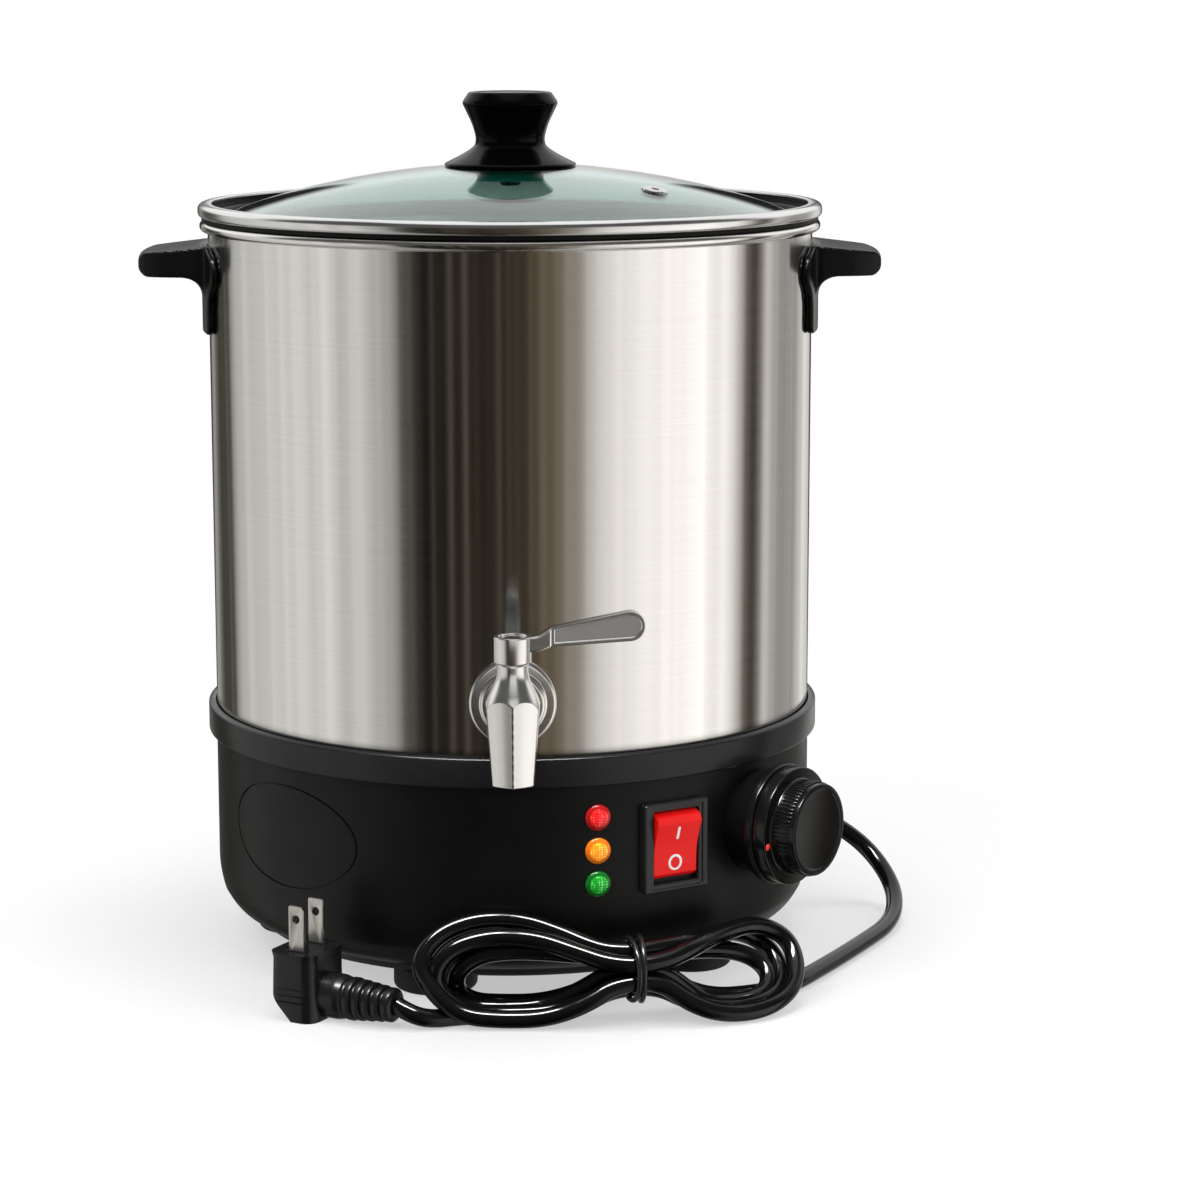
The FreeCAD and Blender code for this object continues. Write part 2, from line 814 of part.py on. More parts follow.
def lid_band():
    low, outer = band_z(), band_radius
    high = low + band_height
    inner = outer - band_metal
    lip = outer - band_width
    foot = outer - 3.1
    upper, lower = 2.2, 1.8
    diagonal = 1 - math.sqrt(0.5)
    return turned(
        (lip, high), (outer - upper, high), (outer - upper * diagonal, high - upper * diagonal, outer, high - upper),
        (outer, low + lower), (outer - lower * diagonal, low + lower * diagonal, outer - lower, low), (foot, low),
        (foot, low + band_metal), (outer - lower, low + band_metal),
        (
            inner - (lower - band_metal) * diagonal, low + band_metal + (lower - band_metal) * diagonal,
            inner, low + lower,
        ),
        (inner, high - upper),
        (
            inner - (upper - band_metal) * diagonal, high - band_metal - (upper - band_metal) * diagonal,
            outer - upper, high - band_metal,
        ),
        (lip, high - band_metal),
    )


def lid_knob():
    bore = knob_screw_radius + 0.05
    depth = knob_screw_length - glass_thickness - washer_height + 1
    rise = [knob_neck_rise, knob_head_rise, knob_height]
    neck, head, top = [dome_z + r for r in rise]
    seat = glass_top(knob_flange_radius - 0.5)
    middle = knob_flange_radius / 2
    waist = (knob_neck_radius + knob_head_radius) / 2 - 0.7
    return turned(
        (bore, glass_top(bore) + 0.05),
        (middle, glass_top(middle) + 0.05, knob_flange_radius - 0.5, seat + 0.05),
        (knob_flange_radius, seat + 0.5, knob_flange_radius - 0.4, seat + 1.1),
        (knob_neck_radius + 1.6, neck - 1.6),
        (knob_neck_radius + 0.3, neck - 0.7, knob_neck_radius, neck + 0.8),
        (waist, (neck + head) / 2 + 1.0, knob_head_radius - 0.5, head - 0.9),
        (knob_head_radius, head + 0.2, knob_head_radius - 0.4, head + 0.9),
        (knob_top_radius + 0.3, top - 0.4),
        (knob_top_radius + 0.1, top - 0.1, knob_top_radius - 0.5, top),
        (0, top), (0, dome_z + depth), (bore, dome_z + depth),
    )


def knob_washer():
    top = glass_under(washer_top_radius)
    low = top - washer_height
    bore = knob_screw_radius + 0.05
    middle = washer_top_radius / 2
    return turned(
        (bore, low + 0.8), (washer_foot_radius - 1.2, low + 0.8), (washer_foot_radius - 0.8, low),
        (washer_foot_radius, low), (washer_top_radius, top - 0.05),
        (middle, glass_under(middle) - 0.05, bore, glass_under(bore) - 0.05),
    )


def knob_screw():
    seat = glass_under(washer_top_radius) - washer_height + 0.8
    low = seat - 2.4
    end = seat + knob_screw_length
    screw = turned(
        (0, low), (knob_screw_head - 1.4, low), (knob_screw_head - 0.3, low + 0.6, knob_screw_head, low + 1.6),
        (knob_screw_head, seat), (knob_screw_radius, seat), (knob_screw_radius, end - 0.6),
        (knob_screw_radius - 0.6, end), (0, end),
    )
    return screw.cut(block(5.0, 0.9, low, low + 1.1)).cut(block(0.9, 5.0, low, low + 1.1))


# Handles


def handle_top():
    return rim_z - handle_top_drop


def handle_screw_z():
    return rim_z - handle_screw_drop


def handle_screw_azimuths():
    return [side * 90 + turn for side in (1, -1) for turn in (-handle_screw_turn, handle_screw_turn)]


def handle(side):
    top = handle_top()
    low = top - grip_slope - grip_thickness
    root = tank_radius + 0.1
    leg = root + pad_thickness
    fillet = grip_root_round
    diagonal = 1 - math.sqrt(0.5)
    end = handle_reach
    profile = turned(
        (root, top), (leg + 1, top - 0.2), (end - 3.5, top - grip_slope),
        (end - 1, top - grip_slope - 1.1, end, top - grip_slope - 3.6),
        (end, low + 3.6), (end - 1.1, low + 1.1, end - 3.6, low), (leg + fillet, low),
        (leg + fillet * diagonal, low - fillet * diagonal, leg, low - fillet), (root, low - fillet),
    )
    plan = outline(
        (root - 15, -grip_root_half - 1), (leg, -grip_root_half), (end - 9, -grip_end_half),
        (end - 0.5, -grip_end_half + 4, end + 1, -grip_end_half + 13), (end + 1, grip_end_half - 13),
        (end - 0.5, grip_end_half - 4, end - 9, grip_end_half), (leg, grip_root_half),
        (root - 15, grip_root_half + 1),
    )
    grip = profile.common(plate(plan, low - 2 * fillet, top + 1))
    pad = tube(leg, root, top - pad_height, top).common(facing(plate(pad_outline(top), root - 20, leg + 20), 90))
    whole = grip.fuse(pad).removeSplitter()
    for turn in (-handle_screw_turn, handle_screw_turn):
        hole = rod(handle_screw_radius + 0.05, root - 5, inner_radius + handle_screw_length + 1)
        whole = whole.cut(facing(hole, 90 + turn, handle_screw_z()))
    return whole if side > 0 else whole.rotated(V(0, 0, 0), UP, 180)


def pad_outline(top):
    ear = top - 9
    waist = top - 16.5
    foot = top - pad_height
    right = [
        (pad_half - 12.6, top), (pad_half - 3.1, top - 3.2, pad_half, ear),
        (pad_half - 1.4, ear - 4.2, leg_half + 2.2, waist), (leg_half + 0.4, waist - 2.6, leg_half, waist - 5.5),
        (leg_half, foot + 5), (leg_half - 1.5, foot + 1.5, leg_half - 5, foot),
    ]
    left = [(-right[-1][-2], foot), (1.5 - leg_half, foot + 1.5, -leg_half, foot + 5), (-leg_half, waist - 5.5)]
    left += [(-leg_half - 0.4, waist - 2.6, -leg_half - 2.2, waist), (1.4 - pad_half, ear - 4.2, -pad_half, ear)]
    left += [(3.1 - pad_half, top - 3.2, 12.6 - pad_half, top)]
    return outline(right[0], *right[1:], *left)


def handle_screws():
    screws = []
    for azimuth in handle_screw_azimuths():
        seat = inner_radius - 0.1
        head, slot = handle_screw_head, handle_screw_slot
        depth = handle_screw_slot_depth
        low = seat - handle_screw_head_height
        screw = turned(
            (0, low), (0.65 * head, low), (0.9 * head, low + 0.125 * head, head, low + 0.35 * head), (head, seat),
            (handle_screw_radius, seat), (handle_screw_radius, seat + handle_screw_length - 0.6),
            (handle_screw_radius - 0.6, seat + handle_screw_length), (0, seat + handle_screw_length),
        )
        for cross in (block(1.15 * head, slot, low, low + depth), block(slot, 1.15 * head, low, low + depth)):
            screw = screw.cut(cross)
        screws.append(facing(screw, azimuth, handle_screw_z()))
    return group(screws)


# Tap, made facing the front with local z out from the tank's axis


def tap_face():
    return tank_radius + 0.1 + flange_thickness


def tap_flange():
    face = tap_face()
    step = face + flange_shoulder_height
    disc = turned(
        (shank_radius + hole_play, tank_radius - 3), (flange_radius, tank_radius - 3), (flange_radius, face - 0.9),
        (flange_radius - 0.8, face - 0.2), (flange_radius - 1.6, face), (flange_shoulder + 0.6, face),
        (flange_shoulder, face + 0.5), (flange_shoulder - 0.8, step - 0.8), (flange_shoulder - 2.4, step),
        (shank_radius + hole_play, step),
    )
    return facing(disc, 0, tap_z).cut(rod(tank_radius + 0.05, seat_z, rim_z))


def spout_body():
    # Turned about the spout's own axis at the origin, with height 0 at the outlet's centre line.
    tip = -spout_drop
    round_part = turned(
        (0, tip), (spout_tip - 0.7, tip), (spout_tip, tip + 0.6), (spout_shoulder, 3.5),
        (spout_shoulder - 0.5, 8.2, spout_shoulder - 2.6, 11.2), (neck_radius + 0.9, 14.2, neck_radius, 17.5),
        (neck_radius, neck_rise), (0, neck_rise),
    )
    wide = spout_flats_top / 2 / math.cos(math.pi / 6)
    narrow = spout_flats_tip / 2 / math.cos(math.pi / 6)
    rings = []
    for size, z in ((narrow, tip), (wide, 5.0), (wide, neck_rise)):
        corners = [
            V(size * math.sin(math.radians(60 * i)), -size * math.cos(math.radians(60 * i)), z) for i in range(6)
        ]
        rings.append(Part.makePolygon(corners + corners[:1]))
    return round_part.common(Part.makeLoft(rings, True, True))


def tap_body():
    shank = rod(shank_radius, inner_radius - shank_inside, tap_face() + 1)
    barrel = turned(
        (0, tap_face() + flange_shoulder_height), (barrel_radius, tap_face() + flange_shoulder_height),
        (barrel_radius - 0.6, tap_reach - 12), (barrel_radius - 1.0, tap_reach), (0, tap_reach),
    )
    shank = shank.fuse(rod(shank_radius, tap_face(), tap_face() + flange_shoulder_height))
    body = facing(shank.fuse(barrel), 0, 0).fuse(spout_body().translated(V(0, -tap_reach, 0)))
    body = body.cut(facing(rod(shank_bore, inner_radius - shank_inside - 1, tap_reach), 0))
    low = -spout_drop
    chamber = low + spout_bore_length
    body = body.cut(rod(spout_bore, low, chamber, 0, -tap_reach))
    body = body.cut(rod(plug_radius + plug_play, chamber, neck_rise, 0, -tap_reach))
    return body.translated(V(0, 0, tap_z)).removeSplitter()


def tap_washer():
    back = inner_radius - 0.05
    ring = tube(tap_washer_radius, shank_radius + hole_play, back - tap_washer_thickness, back)
    return facing(ring, 0, tap_z).common(rod(back, seat_z, rim_z))


def tap_nut():
    front = inner_radius - 0.05 - tap_washer_thickness
    nut = hexagon(tap_nut_flats, front - tap_nut_height, front)
    return facing(nut.cut(rod(shank_radius + hole_play, front - tap_nut_height, front)), 0, tap_z)


def hub_z():
    return tap_z + neck_rise + hub_gap


def tap_plug():
    # The turning valve: its port joins the side to the outlet below.
    low = tap_z - spout_drop + spout_bore_length
    top = tap_z + neck_rise
    stem_top = hub_z() + hub_height - hub_recess
    body = rod(plug_radius, low, top).fuse(rod(stem_radius, top, stem_top))
    body = body.cut(rod(plug_port, low, tap_z)).cut(rod(lever_screw_radius + 0.05, stem_top - 9, stem_top))
    side = Part.makeCylinder(plug_port, plug_radius + 1, V(0, 0, tap_z), V(-1, 0, 0))
    return body.cut(side).translated(V(0, -tap_reach, 0)).removeSplitter()


def lever_outline(inset):
    # The lever seen from the front, from the hub's axis, with heights above the hub's foot.
    i = inset
    end, low, high = lever_length, lever_end_low, lever_end_high
    return outline(
        (lever_root + i, lever_root_low + i), (end - 3.0, low + i), (end - 0.4 - i, low + 1.9, end - i, low + 5.5),
        (end - 0.7 - i, high - 1.4 - i, end - 3.6, high - i), (end - 7.0, high - i),
        (lever_root + i, lever_root_high - i * 0.6),
    )


def tap_lever():
    low = hub_z()
    top = low + hub_height
    hub = turned(
        (stem_radius + 0.05, low), (hub_radius - 0.6, low), (hub_radius, low + 0.6), (hub_radius, top - 0.5),
        (hub_radius - 0.5, top), (hub_radius - hub_wall, top), (hub_radius - hub_wall, top - hub_recess),
        (stem_radius + 0.05, top - hub_recess),
    )
    arm = outline(
        (4.2, lever_root_low - 2.0), (lever_root - 3.7, lever_root_low - 1.7), (lever_root + 0.2, lever_root_low),
        (lever_root + 0.2, lever_root_high + 0.1),
        (lever_root - 1.9, lever_root_high - 1.5, lever_root - 4.7, hub_height + 0.2), (4.2, hub_height - 0.1),
    )
    paddle = slab(lever_outline(0.0), lever_thickness)
    for side in (-1, 1):
        cut = slab(lever_outline(1.1), lever_inset * 2).translated(V(0, side * lever_thickness / 2, 0))
        paddle = paddle.cut(cut)
    bore = rod(stem_radius + 0.05, -1, hub_height - hub_recess)
    recess = rod(hub_radius - hub_wall, hub_height - hub_recess, hub_height + 1)
    arms = slab(arm, lever_arm_thickness).cut(bore).cut(recess).fuse(paddle)
    return hub.fuse(arms.translated(V(0, 0, low))).removeSplitter().translated(V(0, -tap_reach, 0))


def slab(face, thickness):
    # A face drawn as x and height, stood upright and given a thickness across the middle.
    upright = face.rotated(V(0, 0, 0), V(1, 0, 0), 90)
    return upright.translated(V(0, thickness / 2, 0)).extrude(V(0, -thickness, 0))


def lever_screw():
    seat = hub_z() + hub_height - hub_recess
    screw = turned(
        (0, seat - 8), (lever_screw_radius, seat - 8), (lever_screw_radius, seat), (lever_screw_head, seat),
        (lever_screw_head, seat + 1.0), (lever_screw_head - 0.9, seat + 1.7, lever_screw_head - 2, seat + 1.9),
        (0, seat + 1.9),
    )
    return screw.cut(block(4.8, 0.8, seat + 0.9, seat + 2)).translated(V(0, -tap_reach, 0))


# Lamps and switch


def lamp_lens(height):
    face = housing_radius
    lens = turned(
        (0, face - lamp_stem_length), (lamp_stem_radius, face - lamp_stem_length), (lamp_stem_radius, face),
        (lamp_lens_radius, face),
        (lamp_lens_radius, face + 0.7), (lamp_lens_radius * 0.62, face + 1.75, 0.4, face + 2.1), (0, face + 2.1),
    )
    return facing(lens, lamp_azimuth, height)


def lamp_bodies():
    bodies = []
    back = housing_radius - lamp_stem_length
    for height in lamp_heights():
        body = turned(
            (0, back - lamp_body_length), (lamp_body_radius, back - lamp_body_length), (lamp_body_radius, back),
            (lamp_body_radius + lamp_flange, back), (lamp_body_radius + lamp_flange, housing_inner - 0.2),
            (lamp_stem_radius + 0.05, housing_inner - 0.2), (lamp_stem_radius + 0.05, back), (0, back),
        )
        tabs = [
            block(0.8, lamp_tab_width, back - lamp_body_length - lamp_tab_length, back - lamp_body_length).translated(
                V(side * lamp_tab_pitch / 2, 0, 0)
            )
            for side in (-1, 1)
        ]
        bodies.append(facing(joined(body, *tabs), lamp_azimuth, height))
    return group(bodies)


def switch_z():
    return seat_z - switch_drop


def switch_pivot():
    return housing_radius + bezel_stand - rocker_pin_depth


def switch_frame():
    face = housing_radius + bezel_stand
    bezel = block(bezel_width, bezel_height, housing_radius - 2, face)
    bezel = round_edges(bezel, 0.7, lambda e: abs(e.CenterOfMass.z - face) < 1e-3)
    bezel = facing(bezel, switch_azimuth, switch_z()).cut(rod(housing_radius + 0.05, 0, rim_z))
    body = block(switch_body_width, switch_body_height, face - switch_body_depth, face - 1)
    body = facing(body, switch_azimuth, switch_z())
    pocket = block(
        rocker_width + 2 * rocker_play, 2 * (rocker_swing + rocker_play), face - switch_body_depth + 2, face + 1
    )
    frame = bezel.fuse(body).removeSplitter().cut(facing(pocket, switch_azimuth, switch_z()))
    pin = cross_pin(rocker_pin_radius + 0.02, switch_body_width + 2)
    return frame.cut(pin)


def cross_pin(radius, length):
    pin = Part.makeCylinder(radius, length, V(-length / 2, 0, switch_pivot()), V(1, 0, 0))
    return facing(pin, switch_azimuth, switch_z())


def rocker_pin():
    return cross_pin(rocker_pin_radius, switch_body_width - 0.4)


def switch_tabs():
    low = housing_radius + bezel_stand - switch_body_depth
    tabs = [
        facing(block(4.8, 0.8, low - switch_tab_length, low).translated(V(x, y, 0)), switch_azimuth, switch_z())
        for x in (-5.5, 5.5) for y in (-7.0, 7.0)
    ]
    return group(tabs)


def switch_rocker():
    # Drawn level about its pin and then tilted, with its upper end out and its lower end pressed in.
    front, back = 3.2, 3.0
    tip = math.sqrt(rocker_swing**2 - front**2)
    heel = math.sqrt(rocker_swing**2 - back**2)
    side = outline(
        (-tip, front), (0, 1.3), (tip, front), (rocker_swing, 0, heel, -back), (4, -6.5), (-4, -6.5),
        (-heel, -back), (-rocker_swing, 0, -tip, front),
    )
    solid = slab(side, rocker_width).rotated(V(0, 0, 0), UP, 90)
    solid = solid.cut(Part.makeCylinder(rocker_pin_radius + 0.05, 40, V(-20, 0, 0), V(1, 0, 0)))
    solid = solid.rotated(V(0, 0, 0), V(1, 0, 0), rocker_tilt).translated(V(0, 0, switch_pivot()))
    return facing(solid, switch_azimuth, switch_z())


# Dial and thermostat


def dial_z():
    return seat_z - dial_drop


def plinth_face():
    return housing_radius + plinth_height


def dial_plinth():
    face = plinth_face()
    bore = thermostat_nut_flats / math.sqrt(3) + 1.0
    ring = turned(
        (bore, housing_radius - 3), (plinth_radius, housing_radius - 3), (plinth_radius, housing_radius),
        (plinth_front + 0.2, face - 1), (plinth_front - 0.2, face - 0.2, plinth_front - 1, face), (bore, face),
    )
    return facing(ring, dial_azimuth, dial_z()).cut(rod(housing_radius + 0.05, 0, rim_z))


def thermostat_front():
    return housing_inner - 4.2


def thermostat_top():
    return dial_z() + thermostat_height / 2


def shaft_section(play, low, high):
    # The round shaft with its flat.
    cut = Part.makeBox(20, 20, high - low, V(-10, shaft_radius - shaft_flat + play, low))
    return rod(shaft_radius + play, low, high).cut(cut)


def thermostat_body():
    front = thermostat_front()
    case = round_edges(
        block(thermostat_width, thermostat_height, front - thermostat_depth, front), 2,
        lambda e: abs(e.tangentAt(e.FirstParameter).z) > 0.9,
    )
    nut_top = housing_radius + thermostat_nut_height
    stem = rod(8.0, front, housing_inner - 0.35).fuse(rod(bushing_radius, front, nut_top + 0.7))
    body = case.fuse(stem).cut(rod(shaft_radius + 0.05, front - thermostat_depth + 4, nut_top + 1))
    tabs = [
        block(6.3, 0.8, front - thermostat_depth - 7, front - thermostat_depth).translated(V(0, y, 0))
        for y in (-7, 7)
    ]
    return facing(joined(body, *tabs), dial_azimuth, dial_z())


def thermostat_nut():
    low = housing_radius + 0.05
    nut = hexagon(thermostat_nut_flats, low, low + thermostat_nut_height)
    return facing(nut.cut(rod(bushing_radius + hole_play, low, low + thermostat_nut_height)), dial_azimuth, dial_z())


def thermostat_shaft():
    low = thermostat_front() - thermostat_depth + 4.3
    bushing_end = housing_radius + thermostat_nut_height + 1
    end = plinth_face() + dial_gap + dial_height - 3.2
    shaft = rod(shaft_radius, low, bushing_end).fuse(shaft_section(0, bushing_end, end))
    return facing(shaft.removeSplitter(), dial_azimuth, dial_z())


def dial_knob():
    low = plinth_face() + dial_gap
    skirt = low + dial_skirt_height
    face = low + dial_height
    knob = turned(
        (0, low), (dial_skirt_radius - 0.5, low), (dial_skirt_radius, low + 0.5),
        (dial_skirt_radius, skirt - 1.0), (dial_skirt_radius - 0.25, skirt - 0.25, dial_skirt_radius - 1.0, skirt),
        (dial_hub_radius + 0.5, skirt), (dial_hub_radius, skirt + 0.6), (dial_face_radius, face - 1.6),
        (dial_face_radius, face - 0.8), (dial_face_radius - 0.25, face - 0.25, dial_face_radius - 0.8, face),
        (0, face),
    )
    knob = knob.cut(shaft_section(0.05, low - 1, face - 3))
    return facing(knob, dial_azimuth, dial_z())


# Terminal block


def terminal_block():
    low = cover_z
    block_body = block(block_length, block_width, low, low + block_height)
    pitch = block_length / block_poles
    for i in range(block_poles):
        x = (i - (block_poles - 1) / 2) * pitch
        block_body = block_body.cut(rod(3.0, low + 7, low + block_height + 1, x, 0))
        entry = Part.makeCylinder(2.2, block_width + 2, V(x, -block_width / 2 - 1, low + 6), V(0, 1, 0))
        block_body = block_body.cut(entry)
    return block_body.translated(V(0, block_place, 0)).removeSplitter()


# Mains cord and plug


def cord_gland():
    wall = housing_inner
    outside = housing_radius - 0.2
    gland = [
        (0, wall - 4.5), (gland_body_radius + 1.2, wall - 4.5), (gland_body_radius + 1.2, wall - 0.4),
        (gland_body_radius, wall - 0.4), (gland_body_radius, outside + 0.3), (gland_flange_radius, outside + 0.3),
        (gland_flange_radius, outside + 2.0), (gland_body_radius + 0.6, outside + 3.4),
    ]
    ribs = 4
    start = outside + 4.4
    pitch = (gland_reach - start) / ribs
    for i in range(ribs):
        size = gland_body_radius + (gland_tip_radius - gland_body_radius) * i / (ribs - 1)
        foot = start + i * pitch
        gland += [(size, foot), (size, foot + pitch * 0.62), (size - 0.9, foot + pitch * 0.7), (size - 0.9, foot + pitch)]
    gland[-1] = (gland[-1][0], gland_reach)
    return facing(turned(*gland, (0, gland_reach)), gland_azimuth, gland_height)


def cord_lead():
    route = [tuple(at(gland_azimuth, gland_reach, gland_height))] + lead_route
    return swept(route, cord_radius, "cord lead")


def cord_hank():
    # Two lobes of bundled strands, and the waist that the tie holds.
    along = V(*tie_aim).normalize()
    waist = Part.makeCylinder(tie_radius, tie_length, V(*tie_place) - along * (tie_length / 2), along)
    return joined(waist, swept(left_lobe, strand_bundle, "left lobe"), swept(right_lobe, strand_bundle, "right lobe"))


def cord_tie():
    along = V(*tie_aim).normalize()
    rings = [
        Part.makeTorus(tie_radius + tie_wire + 0.05, tie_wire, V(*tie_place) + along * offset, along)
        for offset in (-tie_pitch / 2, tie_pitch / 2)
    ]
    return group(rings)


def at_plug(shape):
    return shape.rotated(V(0, 0, 0), UP, plug_turn).translated(V(plug_place[0], plug_place[1], 0))


def blade_slots(play=0.0):
    return [
        block(blade_width + play, blade_metal + play, plug_height - blade_root, plug_height).translated(V(0, y, 0))
        for y in (-blade_pitch / 2, blade_pitch / 2)
    ]


def plug_body():
    body = block(plug_length, plug_width, 0, plug_height)
    body = round_edges(body, plug_round, lambda e: abs(e.tangentAt(e.FirstParameter).z) > 0.9)
    half = plug_length / 2
    wedge = outline((-half - 1, -1), (-half + plug_chamfer + 1, -1), (-half - 1, plug_chamfer + 1))
    body = body.cut(slab(wedge, plug_width + 2))
    grown = plug_length + 2
    line = block(grown, plug_width + 2, plug_height - plug_lip_drop - plug_lip_groove, plug_height - plug_lip_drop)
    core = round_edges(
        block(plug_length - 1, plug_width - 1, 0, plug_height), plug_round - 0.5,
        lambda e: abs(e.tangentAt(e.FirstParameter).z) > 0.9,
    )
    body = body.cut(line.cut(core))
    for slot in blade_slots():
        body = body.cut(slot)
    return at_plug(body)


def plug_blades():
    blades = []
    top = plug_height + blade_length
    half = blade_width / 2
    for i, y in enumerate((-blade_pitch / 2, blade_pitch / 2)):
        clip = 2.0 if i == 0 else 0.5
        face = outline(
            (-half, plug_height - blade_root), (half, plug_height - blade_root), (half, top - clip),
            (half - clip, top), (-half + 0.5, top), (-half, top - 0.5),
        )
        blade = slab(face, blade_metal)
        hole = Part.makeCylinder(blade_hole, 10, V(0, -5, plug_height + blade_hole_rise), V(0, 1, 0))
        blades.append(at_plug(blade.cut(hole).translated(V(0, y, 0))))
    return group(blades)


def boot_end():
    return at_plug(Part.Vertex(plug_length / 2 + boot_length, 0, boot_height)).Point


def plug_strain_relief():
    # A ribbed boot along the plug's local x, turned about z first.
    pitch = (boot_length - 9) / boot_ribs
    profile = [(0, 0), (boot_radius, 0), (boot_radius, 5.5), (boot_radius - 0.6, 7.6)]
    for i in range(boot_ribs):
        size = boot_radius + (boot_tip_radius - boot_radius) * (i + 1) / boot_ribs
        foot = 9 + i * pitch
        profile += [
            (size - boot_groove, foot - 0.6), (size - boot_groove, foot), (size, foot + 0.5),
            (size, foot + pitch - 1.0),
        ]
    profile += [(boot_tip_radius - 1.4, boot_length), (0, boot_length)]
    boot = turned(*profile)
    boot.rotate(V(0, 0, 0), V(0, 1, 0), 90)
    boot = boot.translated(V(plug_length / 2, 0, boot_height))
    return at_plug(boot)


def cord_tail():
    return swept([tuple(boot_end())] + tail_route, cord_radius, "cord tail")


def pieces():
    red, amber, green = lamp_heights()
    return {
        "foot_pads": feet(),
        "cover_screws": cover_screws(),
        "bottom_cover": bottom_cover(),
        "base_housing": base_housing(),
        "collar_ring": collar_ring(),
        "tank": tank(),
        "heating_plate": heating_plate(),
        "heating_element": heating_element(),
        "heat_shield": heat_shield(),
        "spacer_sleeve": spacer_sleeve(),
        "clamp_bar": clamp_bar(),
        "tank_stud": tank_stud(),
        "stud_washer": stud_washer_ring(),
        "earth_tag": earth_tag(),
        "stud_nut": stud_nut(),
        "thermal_cutout": thermal_cutout(),
        "sensing_bulb": sensing_bulb(),
        "terminal_block": terminal_block(),
        "lamp_lens_red": lamp_lens(red),
        "lamp_lens_amber": lamp_lens(amber),
        "lamp_lens_green": lamp_lens(green),
        "lamp_bodies": lamp_bodies(),
        "switch_frame": switch_frame(),
        "switch_tabs": switch_tabs(),
        "rocker_pin": rocker_pin(),
        "switch_rocker": switch_rocker(),
        "dial_plinth": dial_plinth(),
        "thermostat_body": thermostat_body(),
        "thermostat_nut": thermostat_nut(),
        "thermostat_shaft": thermostat_shaft(),
        "dial_knob": dial_knob(),
        "tap_flange": tap_flange(),
        "tap_body": tap_body(),
        "tap_washer": tap_washer(),
        "tap_nut": tap_nut(),
        "tap_plug": tap_plug(),
        "tap_lever": tap_lever(),
        "lever_screw": lever_screw(),
        "handle_right": handle(1),
        "handle_left": handle(-1),
        "handle_screws": handle_screws(),
        "lid_glass": lid_glass(),
        "lid_band": lid_band(),
        "lid_gasket": lid_gasket(),
        "vent_eyelet": vent_eyelet(),
        "lid_knob": lid_knob(),
        "knob_washer": knob_washer(),
        "knob_screw": knob_screw(),
        "cord_gland": cord_gland(),
        "cord_lead": cord_lead(),
        "cord_hank": cord_hank(),
        "cord_tail": cord_tail(),
        "cord_tie": cord_tie(),
        "plug_body": plug_body(),
        "plug_blades": plug_blades(),
        "plug_strain_relief": plug_strain_relief(),
    }


os.makedirs("parts", exist_ok=True)
for name, shape in pieces().items():
    print(f"{name}: {len(shape.Solids)} solid, valid {shape.isValid()}, volume {shape.Volume:.1f}")
    shape.exportStep(f"parts/{name}.step")
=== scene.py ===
import json
import math

import bmesh
import bpy
from mathutils import Matrix, Vector

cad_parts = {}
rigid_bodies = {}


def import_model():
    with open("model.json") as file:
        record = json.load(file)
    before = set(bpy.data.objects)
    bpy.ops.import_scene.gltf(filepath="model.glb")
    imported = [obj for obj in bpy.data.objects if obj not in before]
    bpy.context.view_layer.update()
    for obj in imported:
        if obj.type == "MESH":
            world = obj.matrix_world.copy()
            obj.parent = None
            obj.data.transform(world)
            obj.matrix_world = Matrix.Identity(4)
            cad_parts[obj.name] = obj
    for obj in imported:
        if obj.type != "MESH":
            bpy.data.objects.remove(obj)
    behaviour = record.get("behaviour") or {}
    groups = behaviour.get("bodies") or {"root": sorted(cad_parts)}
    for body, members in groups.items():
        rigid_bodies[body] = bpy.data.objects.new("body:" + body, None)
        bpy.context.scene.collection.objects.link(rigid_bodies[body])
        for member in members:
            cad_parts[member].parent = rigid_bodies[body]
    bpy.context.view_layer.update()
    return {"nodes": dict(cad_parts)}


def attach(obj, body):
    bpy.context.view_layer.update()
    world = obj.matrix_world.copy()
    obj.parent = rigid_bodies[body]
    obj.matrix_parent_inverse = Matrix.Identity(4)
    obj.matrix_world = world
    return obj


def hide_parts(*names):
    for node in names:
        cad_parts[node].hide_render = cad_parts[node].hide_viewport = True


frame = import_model()
mm = 0.001
print("frame loaded")


# modelling helpers, in millimetres

def settle():
    if bpy.context.object and bpy.context.object.mode != "OBJECT":
        bpy.ops.object.mode_set(mode="OBJECT")
    bpy.ops.object.select_all(action="DESELECT")


def pick(piece):
    settle()
    piece.select_set(True)
    bpy.context.view_layer.objects.active = piece
    return piece


def editMesh(piece, kind):
    pick(piece)
    bpy.ops.object.mode_set(mode="EDIT")
    bpy.ops.mesh.select_mode(type=kind)
    bpy.ops.mesh.select_all(action="DESELECT")


def chooseVerts(piece, test):
    mesh = bmesh.from_edit_mesh(piece.data)
    for vert in mesh.verts:
        vert.select_set(bool(test(vert.co / mm)))
    mesh.select_flush(True)
    bmesh.update_edit_mesh(piece.data)


def chooseEdges(piece, test):
    mesh = bmesh.from_edit_mesh(piece.data)
    for edge in mesh.edges:
        edge.select_set(bool(test(edge.verts[0].co / mm, edge.verts[1].co / mm)))
    bmesh.update_edit_mesh(piece.data)


def chooseFaces(piece, test):
    mesh = bmesh.from_edit_mesh(piece.data)
    mesh.normal_update()
    for face in mesh.faces:
        face.select_set(bool(test(face.calc_center_median() / mm, face.normal)))
    bmesh.update_edit_mesh(piece.data)


def shade(piece, angle=32):
    pick(piece)
    bpy.ops.object.shade_smooth_by_angle(angle=math.radians(angle))
    return piece


